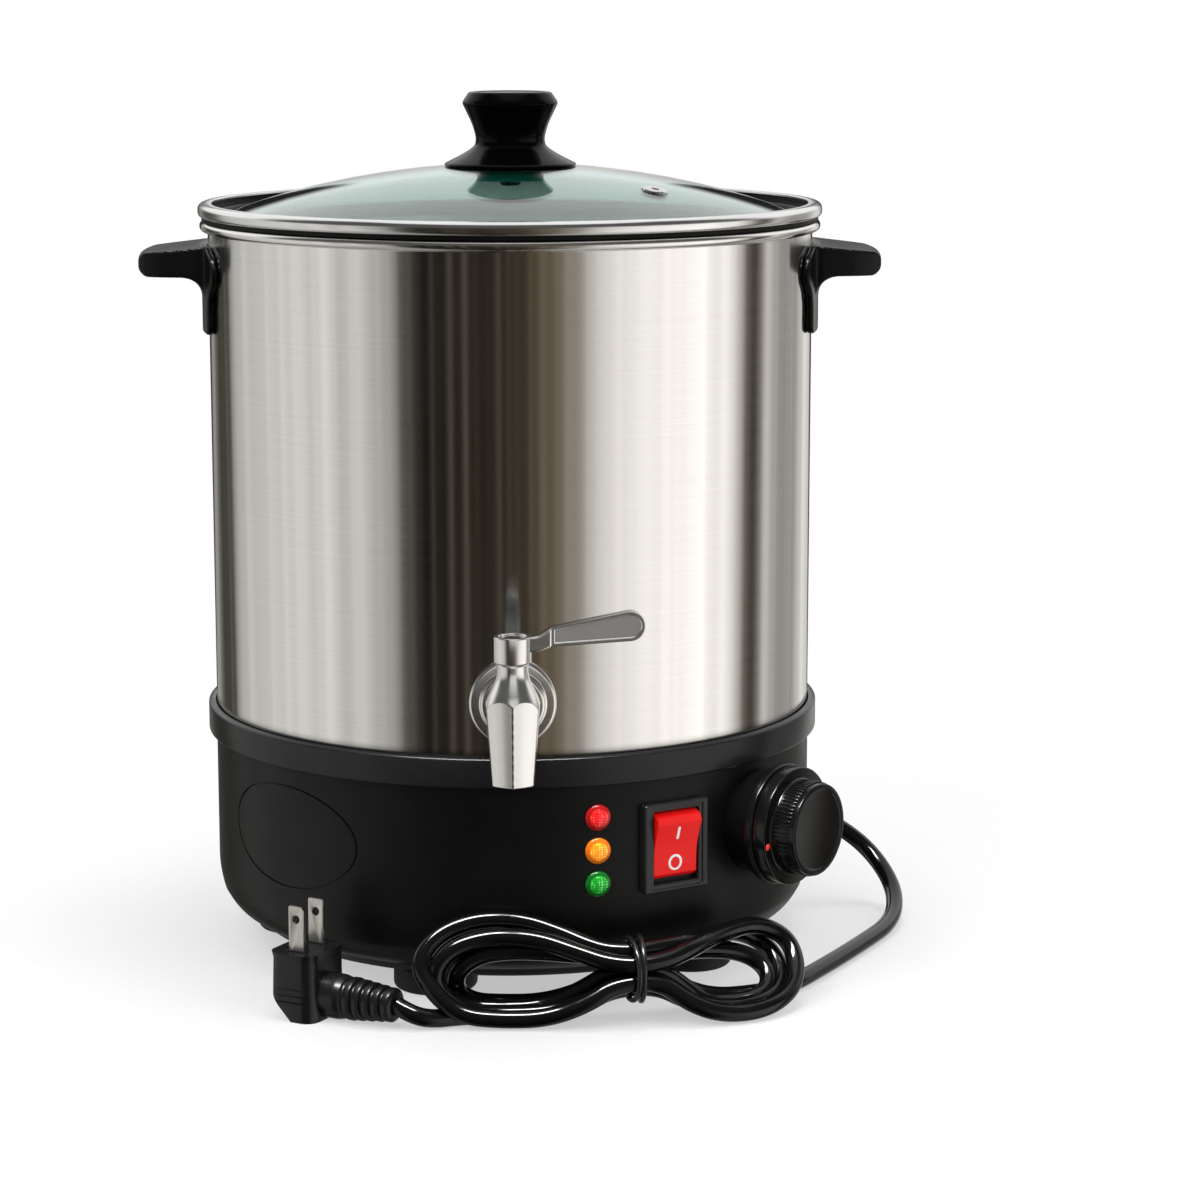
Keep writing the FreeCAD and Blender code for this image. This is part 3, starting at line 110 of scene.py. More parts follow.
def closeMesh(piece, angle=32):
    # merges doubles, turns the faces outwards and shades the piece
    bpy.ops.mesh.select_all(action="SELECT")
    bpy.ops.mesh.remove_doubles(threshold=0.000004)
    bpy.ops.mesh.normals_make_consistent(inside=False)
    return shade(piece, angle)


def drawLine(name, corners, upright, roundSteps):
    # a closed line through corners of two numbers, with a third where the corner is rounded
    settle()
    bpy.ops.mesh.primitive_plane_add(size=0.001)
    piece = bpy.context.object
    piece.name = piece.data.name = name
    spots = [Vector((c[0], 0, c[1]) if upright else (c[0], c[1], 0)) for c in corners]
    bpy.ops.object.mode_set(mode="EDIT")
    bpy.ops.mesh.select_mode(type="VERT")
    bpy.ops.mesh.select_all(action="SELECT")
    bpy.ops.mesh.merge(type="CENTER")
    bpy.ops.transform.translate(value=spots[0] * mm)
    for here, there in zip(spots, spots[1:]):
        bpy.ops.mesh.extrude_vertices_move(TRANSFORM_OT_translate={"value": (there - here) * mm})
    chooseVerts(piece, lambda co: (co - spots[0]).length < 1e-3 or (co - spots[-1]).length < 1e-3)
    bpy.ops.mesh.edge_face_add()
    for size in sorted({c[2] for c in corners if len(c) > 2}):
        marks = [spot for spot, c in zip(spots, corners) if len(c) > 2 and c[2] == size]
        chooseVerts(piece, lambda co: any((co - mark).length < 1e-3 for mark in marks))
        bpy.ops.mesh.bevel(offset=size * mm, offset_type="OFFSET", segments=roundSteps, affect="VERTICES")
    bpy.ops.mesh.select_all(action="SELECT")
    return piece


def spunPiece(name, profile, steps=128, roundSteps=5, angle=32):
    # profile corners are radius and height, spun about Z
    piece = drawLine(name, profile, True, roundSteps)
    bpy.ops.mesh.spin(steps=steps, angle=2 * math.pi, center=(0, 0, 0), axis=(0, 0, 1))
    return closeMesh(piece, angle)


def cutPiece(name, corners, low, high, upright=False, roundSteps=5):
    # a drawn outline given a thickness, from low to high along the outline's own normal
    piece = drawLine(name, corners, upright, roundSteps)
    along = Vector((0, 1, 0)) if upright else Vector((0, 0, 1))
    bpy.ops.transform.translate(value=along * low * mm)
    bpy.ops.mesh.edge_face_add()
    bpy.ops.mesh.extrude_region_move(TRANSFORM_OT_translate={"value": along * (high - low) * mm})
    return closeMesh(piece)


def rectangle(width, tall, size):
    # corners about the middle, all rounded alike
    return [(x * width / 2, y * tall / 2, size) for x, y in ((-1, -1), (1, -1), (1, 1), (-1, 1))]


def stretched(piece, scale):
    piece.scale = scale
    bpy.ops.object.transform_apply(location=True, rotation=True, scale=True)
    return piece


def boxPiece(name, size, centre):
    settle()
    bpy.ops.mesh.primitive_cube_add(size=1, location=[c * mm for c in centre])
    piece = bpy.context.object
    piece.name = piece.data.name = name
    return stretched(piece, [s * mm for s in size])


def rodPiece(radius, depth, centre, vertices, lean=0):
    # a cutter for round holes
    settle()
    bpy.ops.mesh.primitive_cylinder_add(
        vertices=vertices, radius=radius * mm, depth=depth * mm, location=[c * mm for c in centre],
        rotation=(math.radians(lean), 0, 0),
    )
    return bpy.context.object


def ringPiece(radius, wire, around, across):
    settle()
    bpy.ops.mesh.primitive_torus_add(
        major_radius=radius * mm, minor_radius=wire * mm, major_segments=around, minor_segments=across,
    )
    return bpy.context.object


def bake(piece, matrix):
    pick(piece)
    piece.matrix_world = matrix @ piece.matrix_world
    bpy.ops.object.transform_apply(location=True, rotation=True, scale=True)
    return piece


def move(piece, x, y, z):
    return bake(piece, Matrix.Translation(Vector((x, y, z)) * mm))


def turn(piece, angle, axis):
    return bake(piece, Matrix.Rotation(math.radians(angle), 4, axis))


def facing(piece, azimuth, height):
    # local z points out from the tank's axis, x to the right and y up
    turn(piece, 90, "X")
    turn(piece, azimuth, "Z")
    return move(piece, 0, 0, height)


def applySteps(piece, *steps):
    pick(piece)
    for step in steps:
        bpy.ops.object.modifier_apply(modifier=step.name)
    return piece


def combine(piece, other, how):
    step = piece.modifiers.new("combine", "BOOLEAN")
    step.object, step.operation, step.solver = other, how, "EXACT"
    applySteps(piece, step)
    bpy.data.objects.remove(other, do_unlink=True)
    return piece


def softEdges(piece, width, segments, angle=30):
    step = piece.modifiers.new("soft edges", "BEVEL")
    step.width, step.segments, step.limit_method = width * mm, segments, "ANGLE"
    step.angle_limit = math.radians(angle)
    step.use_clamp_overlap = True
    applySteps(piece, step)
    return shade(piece, 35)


def moulded(piece, voxel, rounds):
    # melts the joins of a piece that is moulded in one
    skin = piece.modifiers.new("one skin", "REMESH")
    skin.mode, skin.voxel_size, skin.use_smooth_shade = "VOXEL", voxel * mm, True
    ease = piece.modifiers.new("ease", "SMOOTH")
    ease.iterations, ease.factor = rounds, 0.5
    applySteps(piece, skin, ease)
    bpy.ops.object.shade_smooth()
    return piece


def copyOf(piece, name):
    pick(piece)
    bpy.ops.object.duplicate(linked=False)
    twin = bpy.context.object
    twin.name = twin.data.name = name
    return twin


def together(name, parts):
    settle()
    for part in parts:
        part.select_set(True)
    bpy.context.view_layer.objects.active = parts[0]
    bpy.ops.object.join()
    parts[0].name = parts[0].data.name = name
    return parts[0]


def dress(piece, *names):
    piece.data.materials.clear()
    for name in names:
        piece.data.materials.append(finishes[name])
    return piece


def markFaces(piece):
    # gives a whole piece its second finish
    for face in piece.data.polygons:
        face.material_index = 1


def handIn(piece, body, finish, *nodes):
    # gives a piece its material and its body, and hides the CAD nodes that it stands for
    if finish is not None:
        dress(piece, finish)
    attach(piece, body)
    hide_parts(*nodes)
    return piece


# shading helpers: a term is a plain value or the socket that gives it

def feed(tree, socket, term):
    if isinstance(term, bpy.types.NodeSocket):
        tree.links.new(term, socket)
    else:
        socket.default_value = term


def maths(tree, operation, *terms):
    step = tree.nodes.new("ShaderNodeMath")
    step.operation = operation
    for socket, term in zip(step.inputs, terms):
        feed(tree, socket, term)
    return step.outputs["Value"]


def scaled(tree, vector, size):
    step = tree.nodes.new("ShaderNodeVectorMath")
    step.operation = "SCALE"
    feed(tree, step.inputs[0], vector)
    feed(tree, step.inputs["Scale"], size)
    return step.outputs["Vector"]


def spread(tree, source, low, high, start=0.3, end=0.7, soft=False):
    # start to end of the source becomes low to high
    step = tree.nodes.new("ShaderNodeMapRange")
    step.interpolation_type = "SMOOTHSTEP" if soft else "LINEAR"
    for name, term in (("Value", source), ("From Min", start), ("From Max", end), ("To Min", low), ("To Max", high)):
        feed(tree, step.inputs[name], term)
    return step.outputs["Result"]


def blend(tree, share, first, second):
    step = tree.nodes.new("ShaderNodeMix")
    step.data_type = "RGBA"
    feed(tree, step.inputs["Factor"], share)
    for name, colour in (("A", first), ("B", second)):
        feed(tree, step.inputs[name], (*colour, 1) if isinstance(colour, tuple) else colour)
    return step.outputs["Result"]


def blendShaders(tree, share, first, second):
    step = tree.nodes.new("ShaderNodeMixShader")
    for socket, source in zip(step.inputs, (share, first, second)):
        tree.links.new(source, socket)
    return step.outputs["Shader"]


def pattern(tree, stretch, scale, detail, rough=0.55):
    # noise on the piece's own coordinates, with a stretch along each axis
    place = tree.nodes.new("ShaderNodeTexCoord")
    size = tree.nodes.new("ShaderNodeMapping")
    size.inputs["Scale"].default_value = stretch
    tree.links.new(place.outputs["Object"], size.inputs["Vector"])
    noise = tree.nodes.new("ShaderNodeTexNoise")
    terms = {"Vector": size.outputs["Vector"], "Scale": scale, "Detail": detail, "Roughness": rough}
    for name, term in terms.items():
        feed(tree, noise.inputs[name], term)
    return noise.outputs["Fac"]


def lineNoise(tree, place, scale, detail):
    noise = tree.nodes.new("ShaderNodeTexNoise")
    noise.noise_dimensions = "1D"
    for name, term in (("W", place), ("Scale", scale), ("Detail", detail)):
        feed(tree, noise.inputs[name], term)
    return noise.outputs["Fac"]


def bumpFrom(tree, height, strength, distance):
    bump = tree.nodes.new("ShaderNodeBump")
    for name, term in (("Height", height), ("Strength", strength), ("Distance", distance * mm)):
        feed(tree, bump.inputs[name], term)
    return bump.outputs["Normal"]


def newFinish(name):
    finish = bpy.data.materials.new(name)
    finish.use_nodes = True
    return finish, finish.node_tree, finish.node_tree.nodes["Principled BSDF"].inputs


even = (1, 1, 1)


def plasticFinish(name, colour, paler, rough, grain=1.0, grainSize=900, grainDepth=0.03, shine=0.5):
    # moulded plastic: a fine spark texture, faint cloudiness and rubbed patches
    finish, tree, shader = newFinish(name)
    cloud = spread(tree, pattern(tree, even, 38, 3), 0, 1)
    feed(tree, shader["Base Color"], blend(tree, cloud, colour, paler))
    feed(tree, shader["Roughness"], spread(tree, pattern(tree, even, 60, 4), *rough))
    feed(tree, shader["Normal"], bumpFrom(tree, pattern(tree, even, grainSize, 2), grain, grainDepth))
    shader["Specular IOR Level"].default_value = shine
    return finish


def metalFinish(name, colour, darker, rough, lines, lineDepth, lineStrength=0.5, lengthwise=0.0):
    # brushed or turned metal: long scratches along one way, with broad changes in polish
    finish, tree, shader = newFinish(name)
    shader["Metallic"].default_value = 1.0
    shader["Anisotropic"].default_value = lengthwise
    shader["Anisotropic Rotation"].default_value = 0.25
    scratch = pattern(tree, lines, 1.0, 3, 0.6)
    tone = spread(tree, scratch, 0, 1, 0.35, 0.65)
    feed(tree, shader["Base Color"], blend(tree, tone, darker, colour))
    halves = [spread(tree, source, rough[0] / 2, rough[1] / 2) for source in (scratch, pattern(tree, even, 14, 2))]
    feed(tree, shader["Roughness"], maths(tree, "ADD", *halves))
    feed(tree, shader["Normal"], bumpFrom(tree, scratch, lineStrength, lineDepth))
    return finish


def lensFinish(name, colour, spark):
    # a tinted lens over a ring of bright moulded dots
    finish, tree, shader = newFinish(name)
    place = tree.nodes.new("ShaderNodeTexCoord")
    dots = tree.nodes.new("ShaderNodeTexVoronoi")
    for label, term in (("Vector", place.outputs["Object"]), ("Scale", 1080), ("Randomness", 0.35)):
        feed(tree, dots.inputs[label], term)
    fromDot = dots.outputs["Distance"]
    feed(tree, shader["Base Color"], blend(tree, spread(tree, fromDot, 1, 0, 0.14, 0.46), colour, spark))
    feed(tree, shader["Roughness"], spread(tree, fromDot, 0.12, 0.24, 0.1, 0.6))
    feed(tree, shader["Normal"], bumpFrom(tree, fromDot, 0.25, 0.2))
    shader["Specular IOR Level"].default_value = 0.4
    return finish


def glassFinish(name, colour, paler, rough):
    finish, tree, shader = newFinish(name)
    film = spread(tree, pattern(tree, even, 24, 3), 0, 1)
    feed(tree, shader["Base Color"], blend(tree, film, colour, paler))
    feed(tree, shader["Roughness"], spread(tree, pattern(tree, even, 40, 3), *rough))
    shader["Transmission Weight"].default_value = 1.0
    shader["IOR"].default_value = 1.5
    return finish


# colour, darker colour, roughness, stretch of the lines, their depth and strength, and how far polish runs one way
metals = {
    "tank steel": ((0.85, 0.838, 0.815), (0.815, 0.8, 0.775), (0.11, 0.18), (9, 9, 2600), 0.003, 0.15, 0.85),
    "band steel": ((0.86, 0.855, 0.845), (0.78, 0.775, 0.765), (0.14, 0.24), (30, 30, 3000), 0.004, 0.25, 0.3),
    "tap steel": ((0.86, 0.85, 0.83), (0.83, 0.82, 0.8), (0.2, 0.26), (160, 160, 2400), 0.002, 0.1),
    "lever steel": ((0.86, 0.85, 0.83), (0.83, 0.82, 0.8), (0.2, 0.27), (160, 160, 2400), 0.002, 0.1),
    "bright screw": ((0.74, 0.74, 0.73), (0.64, 0.64, 0.63), (0.2, 0.34), (900, 900, 200), 0.01, 0.4),
    "plain steel": ((0.55, 0.55, 0.55), (0.45, 0.45, 0.45), (0.3, 0.45), (300, 300, 300), 0.01, 0.4),
    "zinc": ((0.6, 0.61, 0.63), (0.5, 0.52, 0.55), (0.32, 0.48), (220, 220, 220), 0.01, 0.4),
    "aluminium": ((0.74, 0.75, 0.76), (0.62, 0.63, 0.64), (0.35, 0.5), (500, 500, 500), 0.02, 0.6),
    "element": ((0.28, 0.27, 0.26), (0.2, 0.19, 0.18), (0.5, 0.65), (260, 260, 260), 0.02, 0.5),
    "brass": ((0.78, 0.6, 0.3), (0.66, 0.48, 0.22), (0.25, 0.4), (500, 500, 500), 0.01, 0.4),
    "copper": ((0.8, 0.45, 0.3), (0.66, 0.34, 0.2), (0.25, 0.4), (400, 400, 400), 0.01, 0.4),
    "nickel": ((0.72, 0.7, 0.66), (0.62, 0.6, 0.56), (0.22, 0.36), (1200, 1200, 120), 0.01, 0.5),
}
# colour, paler colour, roughness, strength, fineness and depth of the grain, and shine
plastics = {
    "panel grey": ((0.145, 0.142, 0.138), (0.165, 0.162, 0.158), (0.42, 0.55), 0.6, 1600, 0.03, 0.4),
    "washer green": ((0.002, 0.24, 0.16), (0.004, 0.28, 0.19), (0.4, 0.5), 0.4, 700, 0.03, 0.3),
    "housing": ((0.0028, 0.0028, 0.0029), (0.0042, 0.0042, 0.0044), (0.36, 0.46), 0.6, 1500, 0.03, 0.2),
    "collar": ((0.0045, 0.0045, 0.0047), (0.0065, 0.0065, 0.0067), (0.22, 0.3), 0.4, 1500, 0.02, 0.25),
    "cover": ((0.026, 0.026, 0.027), (0.032, 0.032, 0.033), (0.55, 0.68), 1.0, 1100, 0.06),
    "handle": ((0.0012, 0.0012, 0.0013), (0.0022, 0.0022, 0.0023), (0.24, 0.3), 0.2, 1300, 0.015, 0.14),
    "knob": ((0.0008, 0.0008, 0.0009), (0.0014, 0.0014, 0.0015), (0.12, 0.17), 0.15, 1300, 0.015, 0.08),
    "dial": ((0.0015, 0.0015, 0.0016), (0.0028, 0.0028, 0.0029), (0.13, 0.18), 0.3, 1400, 0.015, 0.35),
    "plinth": ((0.0015, 0.0015, 0.0016), (0.0028, 0.0028, 0.0029), (0.15, 0.2), 0.3, 1400, 0.015, 0.25),
    "bezel": ((0.005, 0.005, 0.0052), (0.007, 0.007, 0.0073), (0.26, 0.34), 0.3, 1400, 0.03, 0.4),
    "lamp holder": ((0.04, 0.04, 0.04), (0.05, 0.05, 0.05), (0.45, 0.55)),
    "rubber": ((0.01, 0.01, 0.01), (0.015, 0.015, 0.015), (0.55, 0.7), 1.0, 700, 0.06, 0.3),
    "gasket": ((0.003, 0.003, 0.003), (0.005, 0.005, 0.005), (0.4, 0.52), 0.6, 800, 0.03, 0.12),
    "silicone": ((0.72, 0.72, 0.69), (0.78, 0.78, 0.75), (0.4, 0.5), 0.4, 500, 0.03),
    "valve": ((0.76, 0.76, 0.74), (0.8, 0.8, 0.78), (0.35, 0.45), 0.4, 700, 0.03),
    "ceramic": ((0.8, 0.79, 0.75), (0.86, 0.85, 0.82), (0.45, 0.6), 0.8, 600, 0.05),
    "rocker red": ((0.74, 0.006, 0.005), (0.8, 0.009, 0.007), (0.3, 0.38), 0.25, 1300, 0.02, 0.22),
    "print white": ((0.8, 0.8, 0.79), (0.86, 0.86, 0.85), (0.45, 0.55), 0.3, 1300, 0.02),
    "dot red": ((0.62, 0.02, 0.015), (0.68, 0.03, 0.02), (0.4, 0.5), 0.3, 1300, 0.02),
    "cord": ((0.0012, 0.0012, 0.0013), (0.002, 0.002, 0.0021), (0.1, 0.14), 0.15, 500, 0.015, 0.4),
    "plug": ((0.0025, 0.0025, 0.0026), (0.0038, 0.0038, 0.004), (0.22, 0.3), 0.4, 900, 0.03, 0.35),
    "tie": ((0.004, 0.004, 0.0041), (0.006, 0.006, 0.0062), (0.2, 0.3), 0.3, 900, 0.02),
    "lens red edge": ((0.22, 0.003, 0.003), (0.27, 0.004, 0.004), (0.12, 0.2), 0.2, 1300, 0.02, 0.5),
    "lens amber edge": ((0.48, 0.1, 0.002), (0.54, 0.12, 0.003), (0.12, 0.2), 0.2, 1300, 0.02, 0.5),
    "lens green edge": ((0.002, 0.07, 0.006), (0.003, 0.09, 0.008), (0.12, 0.2), 0.2, 1300, 0.02, 0.5),
}
lenses = {
    "lens red": ((0.52, 0.004, 0.006), (0.95, 0.1, 0.08)),
    "lens amber": ((0.8, 0.22, 0.004), (1.0, 0.62, 0.1)),
    "lens green": ((0.004, 0.22, 0.012), (0.14, 0.75, 0.16)),
}
finishes = {name: metalFinish(name, *values) for name, values in metals.items()}
finishes.update({name: plasticFinish(name, *values) for name, values in plastics.items()})
finishes.update({name: lensFinish(name, *values) for name, values in lenses.items()})
finishes["lid glass"] = glassFinish("lid glass", (0.58, 0.8, 0.75), (0.62, 0.83, 0.78), (0.0, 0.015))

# painted shade: the steel's colour darkens where it stands in the collar, standing in for the shade in the groove
# there
footShade = {"low": 0.0925, "high": 0.0975, "least": 0.04, "colour": (0.02, 0.019, 0.018)}
steel = finishes["tank steel"].node_tree
steelColour = steel.nodes["Principled BSDF"].inputs["Base Color"]
spot, axes = steel.nodes.new("ShaderNodeTexCoord"), steel.nodes.new("ShaderNodeSeparateXYZ")
steel.links.new(spot.outputs["Object"], axes.inputs["Vector"])
# share of plain steel colour, falling to the painted shade colour towards the collar
unshaded = spread(steel, axes.outputs["Z"], footShade["least"], 1.0, footShade["low"], footShade["high"], soft=True)
feed(steel, steelColour, blend(steel, unshaded, footShade["colour"], steelColour.links[0].from_socket))
print("finishes made")


# camera
view = {"place": (0, -1.288, 0.3645), "down": 10.32, "aside": 1.505, "lens": 101.7, "far": 50}
camera = bpy.data.objects.new("camera", bpy.data.cameras.new("camera"))
bpy.context.scene.collection.objects.link(camera)
camera.data.sensor_width = 36
camera.data.lens = view["lens"]
camera.data.clip_end = view["far"]
camera.location = view["place"]
camera.rotation_euler = (math.radians(90 - view["down"]), 0, math.radians(-view["aside"]))
bpy.context.scene.camera = camera

# mains cord: from its gland down to the floor, three turns through the tie, and on to the plug
cordShape = {
    "radius": 3.3,
    "length": 1.2,
    "exit": (126.14, 31.45, 34),
    "points": [
        (126.14, 31.45, 34), (136.5, 32.5, 27.5), (146, 27, 18.5), (151, 15, 10.5), (150, -1, 5.5),
        (144.5, -17.5, 3.5), (135, -36, 3.5), (123.5, -57, 3.5), (113, -75, 3.5), (105.5, -87.5, 3.5),
        (97.5, -97.5, 3.4), (86, -105, 3.4), (72, -110, 4), (61, -114, 8.5), (49.7, -118.6, 16.1), (34, -121.8, 16.1),
        # inner turn
        (24, -118.5, 9), (10, -114.5, 3.8), (-5, -113.6, 3.4), (-15, -116.5, 5), (-21, -121, 11), (-20.5, -124, 18.5),
        (-13, -123, 24), (-2, -121.5, 25.2), (12, -121, 24.5), (24, -121, 23.3), (34, -121.8, 22.9),
        (49.7, -118.6, 22.9), (60, -114, 22.5), (71, -107, 21), (81.5, -101.5, 18.5), (89.5, -101, 14.5),
        (93, -106, 9.5), (89.5, -112.5, 5), (79, -115.5, 3.6), (68, -117.5, 4.5), (59, -120, 12.5),
        (50.8, -124.4, 19.5), (35.2, -127.6, 19.5),
        # outer turn on the right, middle turn on the left
        (25, -125, 12), (11, -121.5, 4.2), (-5, -120.4, 3.4), (-18, -122, 4.8), (-27, -126, 11.5),
        (-28.5, -127.5, 20.5), (-21.5, -126, 28), (-8, -124, 31.3), (8, -124.5, 30.5), (23, -129, 26.3),
        (36.3, -133.4, 22.9), (52, -130.2, 22.9), (62, -124, 25.5), (74, -109, 27.5), (87.5, -97, 28),
        (99.5, -93.5, 22), (103, -101.5, 13.5), (100, -112.5, 6.5), (89, -125.5, 3.6), (74, -130.5, 3.8),
        (62, -132, 8.5), (52, -130.2, 16.1), (36.3, -133.4, 16.1),
        # outer turn on the left, middle turn on the right
        (26, -135.5, 9.5), (12, -134.5, 4), (-4, -133.8, 3.4), (-19, -134, 5), (-29, -131.5, 13), (-34.5, -126, 22.5),
        (-27, -121, 31.5), (-13, -118, 36), (3, -118, 35.5), (17, -121.5, 31.5), (27, -125.5, 28),
        (35.2, -127.6, 26.3), (50.8, -124.4, 26.3), (61, -116.5, 26.5), (71.5, -104, 26), (82, -92, 23.5),
        (92.5, -90, 18), (97.5, -98, 11), (95, -108, 5.2), (85, -119.5, 3.5), (73, -123.8, 3.8), (61, -125, 7.5),
        (50.8, -124.4, 12.7), (35.2, -127.6, 12.7),
        # along the floor to the plug
        (25, -129.5, 7.5), (11, -127.2, 3.6), (-5, -127, 3.4), (-19, -129, 3.4), (-30, -133.4, 3.6),
        (-37.5, -134, 6.2), (-41.5, -131.75, 8.3),
    ],
}
cordLine = bpy.data.curves.new("mains_cord", "CURVE")
cordLine.dimensions = "3D"
cordLine.bevel_depth = cordShape["radius"] * mm
cordLine.bevel_resolution = 6
cordLine.resolution_u = 8
cordLine.use_fill_caps = True
cordRun = cordLine.splines.new("NURBS")
cordRun.points.add(len(cordShape["points"]) - 1)
for point, place in zip(cordRun.points, cordShape["points"]):
    point.co = (place[0] * mm, place[1] * mm, place[2] * mm, 1)
cordRun.order_u = 3
cordRun.use_endpoint_u = True
mainsCord = bpy.data.objects.new("mains_cord", cordLine)
bpy.context.scene.collection.objects.link(mainsCord)
handIn(mainsCord, "melter", "cord", "cord_lead", "cord_hank", "cord_tail")
print("camera and cord placed")

# plug: a moulded body standing on its side, two flat blades up, and a ribbed boot
plugShape = {
    "place": (-74, -113, 0), "turn": -30, "length": 19, "width": 24.5, "tall": 24.8, "round": 5, "chamfer": 10,
    "lip": 2.4, "groove": 0.6, "grooveDepth": 0.5, "gripLines": (7.2, 9.6, 12.0), "gripLine": (1.2, 0.7),
    "seat": (8.4, 3.4, 0.8), "seatLow": 0.4, "seatHigh": 0.35,
}
length, width, tall = plugShape["length"], plugShape["width"], plugShape["tall"]
lipFoot = tall - plugShape["lip"]
grooveFoot = lipFoot - plugShape["groove"]
inset = 2 * plugShape["grooveDepth"]
plugPlace = Matrix.Translation(Vector(plugShape["place"]) * mm)
plugPlace = plugPlace @ Matrix.Rotation(math.radians(plugShape["turn"]), 4, "Z")
plugBody = boxPiece("plug_body_moulding", (length, width, tall), (0, 0, tall / 2))
editMesh(plugBody, "EDGE")
chooseEdges(plugBody, lambda a, b: abs(a.z - b.z) > 1)
bpy.ops.mesh.bevel(offset=plugShape["round"] * mm, segments=8, affect="EDGES")
for level in (lipFoot, grooveFoot):
    bpy.ops.mesh.select_all(action="SELECT")
    bpy.ops.mesh.bisect(plane_co=(0, 0, level * mm), plane_no=(0, 0, 1))
chooseFaces(plugBody, lambda c, n: abs(n.z) < 0.1 and grooveFoot < c.z < lipFoot)
bpy.ops.transform.resize(
    value=((length - inset) / length, (width - inset) / width, 1), center_override=(0, 0, lipFoot * mm),
)
closeMesh(plugBody)
cut = plugShape["chamfer"] + 1
wedge = cutPiece(
    "wedge", [(-length / 2 - 1, -1), (-length / 2 + cut, -1), (-length / 2 - 1, cut)], -20, 20, upright=True,
)
combine(plugBody, wedge, "DIFFERENCE")
for level in plugShape["gripLines"]:
    gripLine = boxPiece("grip line", (length + 4, *plugShape["gripLine"]), (2, -width / 2, level))
    combine(plugBody, gripLine, "DIFFERENCE")
softEdges(plugBody, 0.5, 3, 35)

bladeShape = {
    "width": 6.35, "metal": 1.5, "pitch": 12.7, "length": 16.5, "root": 6, "hole": 1.5, "holeRise": 11.7,
    "clips": {-1: 1.6, 1: 0.5}, "corner": 0.8,
}
seats, blades = [], []
half, foot, top = bladeShape["width"] / 2, tall - bladeShape["root"], tall + bladeShape["length"]
for side, clip in bladeShape["clips"].items():
    aside = side * bladeShape["pitch"] / 2
    seat = cutPiece("seat", rectangle(*plugShape["seat"]), tall - plugShape["seatLow"], tall + plugShape["seatHigh"])
    seats.append(move(softEdges(seat, 0.2, 2), 0, aside, 0))
    blade = cutPiece(
        "blade", [(-half, foot), (half, foot), (half, top, clip), (-half, top, bladeShape["corner"])],
        -bladeShape["metal"] / 2, bladeShape["metal"] / 2, upright=True,
    )
    hole = rodPiece(bladeShape["hole"], 10, (0, 0, tall + bladeShape["holeRise"]), 32, lean=90)
    combine(blade, hole, "DIFFERENCE")
    softEdges(blade, 0.18, 2)
    blades.append(move(blade, 0, aside, 0))
plugBody = bake(together("plug_body_moulding", [plugBody] + seats), plugPlace)
handIn(plugBody, "melter", "plug", "plug_body")
plugBlades = bake(together("plug_blade_pair", blades), plugPlace)
handIn(plugBlades, "melter", "nickel", "plug_blades")

bootShape = {"radius": 8.2, "tip": 6.2, "length": 28, "ribs": 5, "groove": 1.1, "height": 8.3, "start": 9}
boot = bootShape["radius"]
bootLine = [(0, -0.5), (boot, -0.5), (boot, 5.5, 0.8), (boot - 0.6, 7.6)]
ribStep = (bootShape["length"] - bootShape["start"]) / bootShape["ribs"]
for rib in range(bootShape["ribs"]):
    size = boot + (bootShape["tip"] - boot) * (rib + 1) / bootShape["ribs"]
    dent, foot = size - bootShape["groove"], bootShape["start"] + rib * ribStep
    bootLine += [(dent, foot - 0.6, 0.25), (dent, foot, 0.25)]
    bootLine += [(size, foot + 0.5, 0.4), (size, foot + ribStep - 1.0, 0.4)]
bootLine += [(bootShape["tip"] - 1.4, bootShape["length"], 0.5), (0, bootShape["length"])]
plugBoot = turn(spunPiece("plug_strain_boot", bootLine, 64, 3), 90, "Y")
bake(move(plugBoot, length / 2, 0, bootShape["height"]), plugPlace)
handIn(plugBoot, "melter", "plug", "plug_strain_relief")

# tie: a coated wire wound twice round the strands
tieShape = {
    "place": (43, -126, 19.5), "aim": (0.98, 0.2, 0), "radius": 11.35, "wire": 1.0, "pitch": 3.6,
    "rings": [{"offset": -0.5, "lean": 4, "squeeze": 1.03}, {"offset": 0.5, "lean": -5, "squeeze": 0.99}],
}
rings = []
for wind in tieShape["rings"]:
    ring = ringPiece(tieShape["radius"], tieShape["wire"], 96, 20)
    stretched(ring, (wind["squeeze"], 2 - wind["squeeze"], 1))
    turn(ring, wind["lean"], "Y")
    rings.append(move(ring, 0, 0, wind["offset"] * tieShape["pitch"]))
cordTie = together("cord_tie_rings", rings)
bpy.ops.object.shade_smooth()
aim = Vector(tieShape["aim"]).normalized().to_track_quat("Z", "Y").to_matrix().to_4x4()
bake(cordTie, Matrix.Translation(Vector(tieShape["place"]) * mm) @ aim)
handIn(cordTie, "melter", "tie", "cord_tie")
print("plug and tie made")

# gland: a ribbed strain relief where the cord leaves the housing
glandShape = {
    "azimuth": 104, "height": 34, "body": 6.4, "tip": 4.6, "flange": 8.6, "reach": 130, "ribs": 4, "start": 118.4,
    "groove": 0.9,
}
body, ribs = glandShape["body"], glandShape["ribs"]
glandLine = [
    (0, 108), (body, 108), (body, 114.1), (glandShape["flange"], 114.1, 0.3), (glandShape["flange"], 116.0, 0.7),
    (body + 0.6, 117.4),
]
ribStep = (glandShape["reach"] - glandShape["start"]) / ribs
for rib in range(ribs):
    size = body + (glandShape["tip"] - body) * rib / (ribs - 1)
    dent, foot = size - glandShape["groove"], glandShape["start"] + rib * ribStep
    glandLine += [(size, foot, 0.3), (size, foot + ribStep * 0.62, 0.3)]
    glandLine += [(dent, foot + ribStep * 0.7, 0.2), (dent, foot + ribStep - 0.05, 0.2)]
glandLine += [(0, glandShape["reach"])]
cordGland = facing(spunPiece("cord_gland_moulding", glandLine, 64, 3), glandShape["azimuth"], glandShape["height"])
